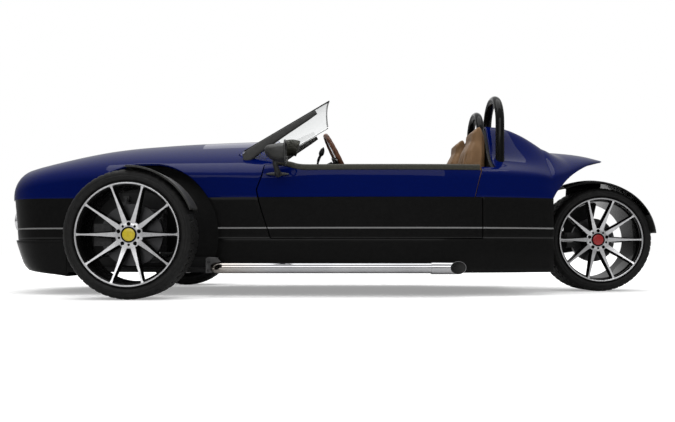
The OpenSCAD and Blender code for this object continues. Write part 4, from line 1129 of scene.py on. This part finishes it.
def seat_pads():
    """Cushion and back of the right seat, still on the car's middle plane."""
    base = pad_form([(SEAT_X0 + 14, SEAT_Z0 + 2), (SEAT_X0 + 14, SEAT_Z0 + 148), (SEAT_X0 + 62, SEAT_Z0 + 170),
                     (DOOR_X1 - 98, SEAT_Z0 + 136), (DOOR_X1 - 98, SEAT_Z0 + 2)], 196, "seat_cushion_right")
    inflate(base, 14)
    x0 = DOOR_X1 - 90
    back = pad_form([(x0 + 10, SEAT_Z0 + 4), (x0 + 10, SEAT_Z0 + 170), (DOOR_X1 - 40, 748), (DOOR_X1 - 26, 800),
                     (DOOR_X1 + 6, 858), (DOOR_X1 + 8, 912), (DOOR_X1 + 24, 948), (DOOR_X1 + 44, 946),
                     (DOOR_X1 + 56, 900), (DOOR_X1 + 62, 770), (DOOR_X1 + 62, SEAT_Z0 + 4)], 190, "seat_back_right")
    co = np.array([v.co for v in back.data.vertices])
    co[:, 1] *= 1 - 0.38 * smoothstep(co[:, 2], 0.58, 0.95)
    mid = 0.742 + 0.05 * smoothstep(co[:, 2], 0.70, 0.95)
    co[:, 0] = mid + (co[:, 0] - mid) * (1 - 0.42 * smoothstep(co[:, 2], 0.45, 0.70) * (co[:, 1] / 0.17) ** 2)
    back.data.vertices.foreach_set("co", co.ravel())
    inflate(back, 14)
    channels(base, [-120, -60, 0, 60, 120], 6, 9,
             lambda co, no: smoothstep(no[:, 2], 0.4, 0.9) * smoothstep(co[:, 0], 0.27, 0.30))
    channels(back, [-105, -52, 0, 52, 105], 6, 9,
             lambda co, no: smoothstep(-no[:, 0], 0.3, 0.8) * smoothstep(0.80 - co[:, 2], 0.0, 0.05))
    return base, back


pads = seat_pads()
for pad in pads:
    pad.data.materials.clear()
    pad.data.materials.append(M["tan"])
    shade(pad.data, 180)
    modifier(pad, "SUBSURF", levels=1, render_levels=1)
lefts = []
for pad in pads:
    twin = pad.copy()
    twin.data = pad.data.copy()
    twin.name = pad.name.replace("right", "left")
    scene.collection.objects.link(twin)
    lefts.append(twin)
for group, side, node in ((pads, 1, "seat_right"), (lefts, -1, "seat_left")):
    for pad in group:
        pad.data.transform(Matrix.Translation((0, side * SEAT_Y * MM, 0)))
        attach(pad, "root")
    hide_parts(node)

# ------------------------------------------------------------------ wheels


def spoked_rim(g, flange, face, back, hub, place):
    """Rim and spokes. place turns (angle, radius, outward) into a point."""
    seat = flange - 17
    loop = [(flange, face - 0.5), (flange, face - 7), (seat, face - 11), (seat, back + 11), (flange, back + 7),
            (flange, back), (flange - 9, back), (seat - 8, back + 8), (seat - 8, face - 40), (seat - 5, face - 26),
            (flange - 14, face - 11), (flange - 12, face - 4), (flange - 10.5, face - 1), (flange - 9, face),
            (flange - 4, face)]
    g.loop([[place(t, r, a) for t in around(120)] for r, a in loop], [1] * 11 + [0] * 3 + [1])
    for k in range(10):
        t0 = radians(36 * k)
        rows = []
        for s in np.linspace(0, 1, 16):
            r = 58 + (flange - 11.5 - 58) * s
            wide = 3.7 + 9.5 * (1 - s) ** 1.7 + 3.6 * max(0, (s - 0.88) / 0.12) ** 2
            base = wide + 6.5 + 3 * (1 - s)
            top = hub + (face - 3 - hub) * s ** 1.25
            deep = 8 + (22 + 6 * (1 - s)) * min((1 - s) / 0.08, 1)
            shape = [(-base, top - deep), (-wide - 1.8, top - 4.5), (-wide, top), (wide, top),
                     (wide + 1.8, top - 4.5), (base, top - deep)]
            rows.append([place(t0, r, a, w) for w, a in shape])
        n = len(g.f)
        g.grid(rows, 1, wrap=True)
        for i in range(n, len(g.f)):
            if (i - n) % 6 == 2:
                g.m[i] = 0
    return g


def placer(cx, cy, cz, out):
    def place(t, r, a, w=0.0):
        c, s = cos(t), sin(t)
        return (cx + r * c - w * s, cy + out * a, cz + r * s + w * c)
    return place


def hub_geo(hub, mount, bore, place):
    g = Geo()
    loop = [(bore, mount), (74, mount), (74, hub - 14), (70, hub - 4), (64, hub), (40, hub), (36, hub - 5),
            (bore, hub - 5)]
    return g.loop([[place(t, r, a) for t in around(96)] for r, a in loop], [1, 1, 1, 0, 0, 0, 0, 1])


def road_wheel(word, centre, out, body, sizes, cap, node):
    """Rim, spokes, hub, nuts and cap. out is the side of the car that its face looks to."""
    cx, cy, cz = centre
    flange, face, back, hub, mount, bore = sizes
    place = placer(cx, cy, cz, out)
    g = spoked_rim(Geo(), flange, face, back, hub, place)
    ob = build("hub_" + word, hub_geo(hub, mount, bore, place), "face gloss soot", body,
               "machined_rim")
    holes = Geo()
    for k in range(10):
        t = radians(36 * k + 18)
        r, rad = (53.5, 10.2) if k % 2 == 0 else (50, 6.2)
        c = place(t, r, hub)
        y0, y1 = sorted((cy + out * (hub - (22 if k % 2 == 0 else 10)), cy + out * (hub + 5)))
        holes.turned([(0.01, y0), (rad, y0), (rad, y1), (0.01, y1)], (c[0], 0, c[2]), steps=20)
    cut(ob, holes)
    for p in ob.data.polygons:
        a = p.center / MM
        off_face = abs(a.y - cy - out * hub) > 0.8 and (a.y - cy) * out > hub - 23
        if off_face and 40.5 < hypot(a.x - cx, a.z - cz) < 64:
            p.material_index = 1
    shade(ob.data, 35)
    bevel(ob, 0.8, 40)
    nuts = Geo()

    def turn_out(profile, x, z, steps, mat):
        """Turns a profile whose distances are measured out from the hub's face."""
        nuts.turned([(r, cy + out * (hub + d)) for r, d in profile], (x, 0, z), steps=steps, mat=mat)

    for k in range(0, 10, 2):
        t = radians(36 * k + 18)
        c = place(t, 53, 0)
        turn_out([(5.8, -24), (5.8, -8), (4.2, -6), (0.01, -6), (0.01, -24)], c[0], c[2], 6, 1)
    turn_out([(33, -8), (39, -6), (40, 0), (38.5, 3), (33, 3.5), (31.5, 1)], cx, cz, 64, 1)
    turn_out([(0.01, -8), (32.2, -8), (32.2, 1), (30, 3.4), (24, 5), (12, 6), (0.01, 6.3)], cx, cz, 64, 2)
    g.join(nuts)
    build("rim_" + word, g, "face gloss " + cap, body, "machined_rim", [node], sharp=30)


def tyre(word, centre, body, R, w, bead, node):
    """Tyre with two grooves on each half of its tread, cross cuts and shoulder ribs."""
    cx, cy, cz = centre
    h, s = w / 2, R - bead
    side = [(0.0, h - 18.5), (0.25, h - 15.5), (0.30, h - 9), (0.34, h - 5), (0.40, h - 2), (0.47, h - 0.2),
            (0.55, h - 0.3), (0.60, h - 1.6), (0.615, h - 3.0), (0.63, h - 2.6), (0.72, h - 4.2), (0.735, h - 5.8),
            (0.75, h - 5.6), (0.84, h - 10.5), (0.90, h - 16), (0.945, h - 23), (0.975, h - 31)]
    half = [(bead + s * a, b) for a, b in side]
    edge = h - 36
    tread = [(R - 0.4, y, 0) for y in np.linspace(edge, edge * 0.70 + 6, 5)]
    for gpos, nxt in ((0.70, 0.24), (0.24, None)):
        c = edge * gpos
        tread += [(R - 0.2, c + 5, 0), (R - 7, c + 3.6, 9), (R - 7, c - 3.6, 9), (R - 0.2, c - 5, 0)]
        stop = edge * nxt + 6 if nxt else 0
        tread += [(R, y, 0) for y in np.linspace(c - 6, stop, 5)[1:]]
    full = [(r, a, 0) for r, a in half] + tread
    full += [(r, -a, k) for r, a, k in reversed(full[:-1])]
    steps = 432
    rings = []
    for r, a, k in full:
        ring = []
        for j in range(steps):
            t = 2 * pi * j / steps
            rr = r
            if k == 0 and r > R - 1:
                shift = (abs(a) / edge) * 2.4 + (4 if a > 0 else 0)
                phase = (j + shift) % 8
                if abs(a) > edge * 0.76 and phase < 1.6:
                    rr = R - 5.5
                elif edge * 0.30 < abs(a) < edge * 0.62 and phase < 1.0:
                    rr = R - 4
            elif r > bead + s * 0.88 and k == 0 and abs(a) > edge:
                if (j + 2.4 + (4 if a > 0 else 0)) % 8 < 1.6:
                    rr = r - 2.2
            ring.append((cx + rr * cos(t), cy + a, cz + rr * sin(t)))
        rings.append(ring)
    build("tyre_" + word, Geo().loop(rings), "rubber", body, "tyre", [node], sharp=38)


# Radius of the flange, then the outward places of face, back, hub and mount, and the bore's radius
FRONT_SIZES = (259, 106.5, -106.5, 66.5, 7.5, 33.1)
REAR_SIZES = (250, 132, -129, 82, -5, 30.1)
for side, word in reversed(SIDES):
    c = (FRONT_X, side * HALF_TRACK, FRONT_R)
    road_wheel("front_" + word, c, side, word + "_wheel", FRONT_SIZES, "yellow", "front_rim_" + word)
    tyre("front_" + word, c, word + "_wheel", FRONT_R, FRONT_W, 242.4, "front_tyre_" + word)
c = (REAR_X, 0, REAR_R)
road_wheel("rear", c, -1, "rear_wheel", REAR_SIZES, "red", "rear_rim")
tyre("rear", c, "rear_wheel", REAR_R, REAR_W, 233.4, "rear_tyre")

# ------------------------------------------------------------------ fenders


def front_fender(side, word):
    """Cycle fender with its edge beads and the bent stay from the knuckle."""
    g = Geo()
    rows = []
    for a in np.radians(np.linspace(93, 21.5, 44)):
        end = min((degrees(a) - 21.5) / 5, (93 - degrees(a)) / 5, 1)
        row = []
        for v in np.linspace(-1, 1, 25):
            lip = 5.5 * max(abs(v) - 0.82, 0) / 0.18
            r = 340 - 0.9 * v * v - lip - 1.2 * (1 - end)
            y = HALF_TRACK + 107.5 * v * (0.93 + 0.07 * sqrt(max(end, 0)))
            row.append((FRONT_X + r * cos(a), y, FRONT_R + r * sin(a)))
        rows.append(row)
    g.grid(rows)
    ridge = Geo()
    for v in (-104.5, 104.5):
        pts = [(FRONT_X + 336.5 * cos(a), HALF_TRACK + v, FRONT_R + 336.5 * sin(a))
               for a in np.radians(np.linspace(91, 24, 30))]
        ridge.tube(pts, 3.2, 0, 8)
    ky, r = HALF_TRACK - 71.5, 332
    stay_y = HALF_TRACK - FRONT_W / 2 - 16
    a = (FRONT_X + 12, ky + 6.7, FRONT_R + 66)
    b = (FRONT_X + 120, stay_y, FRONT_R + 84)
    cc = (FRONT_X + r * cos(radians(60)), stay_y, FRONT_R + 336 * sin(radians(60)))
    ridge.tube([a, b], 6, 1, 16).tube([b, cc], 6, 1, 16).tube([cc, (cc[0], cc[1] + 28, cc[2])], 6, 1, 16)
    ridge.tube(smooth_path([(a[0], a[1], a[2] - 8), a, (a[0], a[1], a[2] + 8)], 3), 8, 1, 16)
    ridge.tube([(b[0] - 7, b[1], b[2] - 4), (b[0] + 5, b[1], b[2] + 7)], 8.5, 1, 16)
    mats = "grey iron steel"
    ob = build("fender_" + word, g.on_side(side), mats, word + "_knuckle", "black_trim", ["front_fender_" + word],
               sharp=60, recalc=False)
    middle = Vector((FRONT_X * MM, side * HALF_TRACK * MM, FRONT_R * MM))
    flip_where(ob.data, lambda p: p.normal.dot(p.center - middle) < 0)
    solid(ob, 4)
    build("fender_edge_" + word, ridge.on_side(side), mats, word + "_knuckle", "black_trim", sharp=50)


for side, word in SIDES:
    front_fender(side, word)

g = Geo()
rows = []
angles = np.linspace(126, 7, 60)
for deg in angles:
    a = radians(deg)
    r_in = REAR_R + 12 + 46 * (max(deg - 60, 0) / 66) ** 2
    thick = 10 + 20 * (max(deg - 40, 0) / 86) ** 1.3
    row = []
    for v in np.linspace(-1, 1, 33):
        lip = max(abs(v) - 0.80, 0) / 0.20
        r = r_in + thick - 3 * v * v - (thick * 0.75) * (1 - sqrt(max(1 - lip ** 2, 0)))
        row.append((REAR_X + r * cos(a), 149 * v, REAR_R + r * sin(a)))
    rows.append(row)
g.grid(rows)
g.m = [1 if angles[i // 32] < 29 else 0 for i in range(len(g.f))]
fender = build("rear_fender_shell", g, "gloss grey", "root", "black_body", ["rear_fender"], sharp=60,
               recalc=False)
flip_where(fender.data,
           lambda p: p.normal.dot(p.center - Vector((REAR_X * MM, p.center.y, REAR_R * MM))) < 0)
solid(fender, 6)
stay = Geo()
outline = [(-130, 40), (40, 40), (95, 306), (60, 323), (-20, 345), (-110, 352)]
stay.prism([(REAR_X + x, REAR_R + z) for x, z in outline], 150, 156, 0)
for x, z in ((-100, 62), (10, 62), (-100, 110), (10, 110)):
    stay.turned([(0.01, 0), (9, 0), (9, 4), (6, 6.5), (0.01, 7)], (REAR_X + x, 156, REAR_R + z), (0, 1, 0), 6, 1)
rear_stay = build("rear_fender_plate", stay, "frame steel", slot="black_body", sharp=30)
bevel(rear_stay, 1.5, 40)

# ------------------------------------------------------------------ lamps

# Kind, place, look and slot of the lens, then the outlines of the rim and of the lens
LAMPS = (
    ("head", (NOSE_X + 47, 225, GRILLE_MID), "clear", "lamp_glass",
     [(50, 0), (58, -2), (59.5, 6), (59.5, 58), (50, 58)],
     [(0.01, -8), (20, -7), (38, -3), (50, 4), (50, 8), (0.01, 8)]),
    ("tail", (1100.2 + 16.3, 330, 430), "tail_red", "lamp_red",
     [(0.01, 0), (42, 0), (42, 20), (38, 24), (36, 18), (0.01, 18)],
     [(0.01, 10), (36, 10), (36, 21), (30, 25), (16, 27.5), (0.01, 28)]))
for side, word in reversed(SIDES):
    for kind, (x, y, z), look, slot, rim, front in LAMPS:
        g = Geo()
        for mat, profile in ((1, rim), (0, front)):
            g.turned(profile, (x, side * y, z), (1, 0, 0), 64, mat)
        build(kind + "_lamp_" + word, g, look + " chrome", slot=slot, sharp=40,
              replaces=[kind + "_lamps"] if side > 0 else ())

for side, word in SIDES:
    g = Geo()
    outline = [(-52, -28), (38, -28), (44, -20), (34, 22), (10, 52), (-40, 56), (-52, 46)]
    g.prism([(BRACKET_X + x, PIPE_Z + z) for x, z in outline], 588, 593)
    g.prism([(BRACKET_X + x, PIPE_Z + z) for x, z in ((-50, 42), (-40, 56), (10, 52), (4, 42))], 552, 590)
    for x, z in ((-36, 30), (-36, -14)):
        g.turned([(0.01, 588), (9, 588), (9, 597), (7, 599), (0.01, 599)], (BRACKET_X + x, 0, PIPE_Z + z),
                 steps=6, mat=1)
    plate = build("pipe_bracket_" + word, g.on_side(side), "bracket iron", slot="dark_metal", sharp=30)
    bevel(plate, 1.2, 40)

# ------------------------------------------------------------------ carried-over nodes

for key, nodes in (
        ("frame", ["chassis", "cabin_bulkhead"]),
        ("gloss", ["roll_hoops"]),
        ("pipe", ["exhaust_pipes"]),
        ("cast", ["engine_block", "drive_shafts"]),
        ("steel", ["tie_rods"]),
        ("satin", ["steering_column"]),
        ("iron", ["wishbones", "dampers", "swing_arm", "rear_caliper", "knuckle_left", "knuckle_right",
                  "front_caliper_left", "front_caliper_right"]),
        ("disc", ["rear_disc", "front_disc_left", "front_disc_right"])):
    for node in nodes:
        dress(node, key)

# ------------------------------------------------------------------ floor, light and background

floor = Geo()
floor.grid([[(x, y, -0.5) for y in (-30000, 30000)] for x in (-30000, 30000)])
floor.f = [f[::-1] for f in floor.f]
ground = mesh_object("floor", floor)
n = Nodes("floor_white")
n.set(Base_Color=n.mix(n.noise(0.6), rgb(*grey(0.80)), rgb(*grey(0.82))), Roughness=0.9,
      Specular_IOR_Level=0.0, Emission_Color=(1, 1, 1, 1))
path = n.new("LightPath")
away = n.new("VectorMath", i0=n.pos)
away.operation = "LENGTH"
n.put(n.bsdf, "Emission Strength",
      n.math("MULTIPLY", path.outputs["Is Camera Ray"], n.ramp(away.outputs["Value"], 1.6, 4.5, 0.32, 0.85)))
ground.data.materials.append(n.mat)


def area(name, place, target, size, power, tall):
    data = bpy.data.lights.new(name, "AREA")
    data.energy = power
    data.shape = "RECTANGLE"
    data.size, data.size_y = size, tall
    ob = bpy.data.objects.new(name, data)
    scene.collection.objects.link(ob)
    ob.location = place
    ob.rotation_euler = (Vector(target) - Vector(place)).to_track_quat("-Z", "Y").to_euler()


area("top_light", (0, -0.3, 4.2), (0, 0, 0), 5.5, 150, 3.0)
area("side_light", (-0.5, -5.0, 2.4), (0, 0, 0.6), 5.0, 80, 1.6)
area("back_light", (0.5, 4.5, 3.2), (0, 0, 0.7), 4.5, 18, 1.6)

world = bpy.data.worlds.new("world")
scene.world = world
world.use_nodes = True
t = world.node_tree
bg = t.nodes["Background"]
ray = t.nodes.new("ShaderNodeLightPath")
coord = t.nodes.new("ShaderNodeTexCoord")
split = t.nodes.new("ShaderNodeSeparateXYZ")
t.links.new(coord.outputs["Generated"], split.inputs[0])


def by_height(low, high):
    n = t.nodes.new("ShaderNodeMapRange")
    for k, v in ((1, 0.10), (2, 0.75), (3, low), (4, high)):
        n.inputs[k].default_value = v
    t.links.new(split.outputs[2], n.inputs[0])
    return n.outputs[0]


def pick(fac, a, b):
    n = t.nodes.new("ShaderNodeMix")
    t.links.new(fac, n.inputs[0])
    t.links.new(a, n.inputs[2])
    if isinstance(b, float):
        n.inputs[3].default_value = b
    else:
        t.links.new(b, n.inputs[3])
    return n.outputs[0]


seen = t.nodes.new("ShaderNodeMath")
seen.operation = "MAXIMUM"
t.links.new(ray.outputs["Is Camera Ray"], seen.inputs[0])
t.links.new(ray.outputs["Is Transmission Ray"], seen.inputs[1])
level = pick(ray.outputs["Is Glossy Ray"], by_height(0.22, 0.85), by_height(0.30, 0.95))
bg.inputs["Color"].default_value = (1, 1, 1, 1)
t.links.new(pick(seen.outputs[0], level, 1.0), bg.inputs["Strength"])

scene.view_settings.view_transform = "Standard"
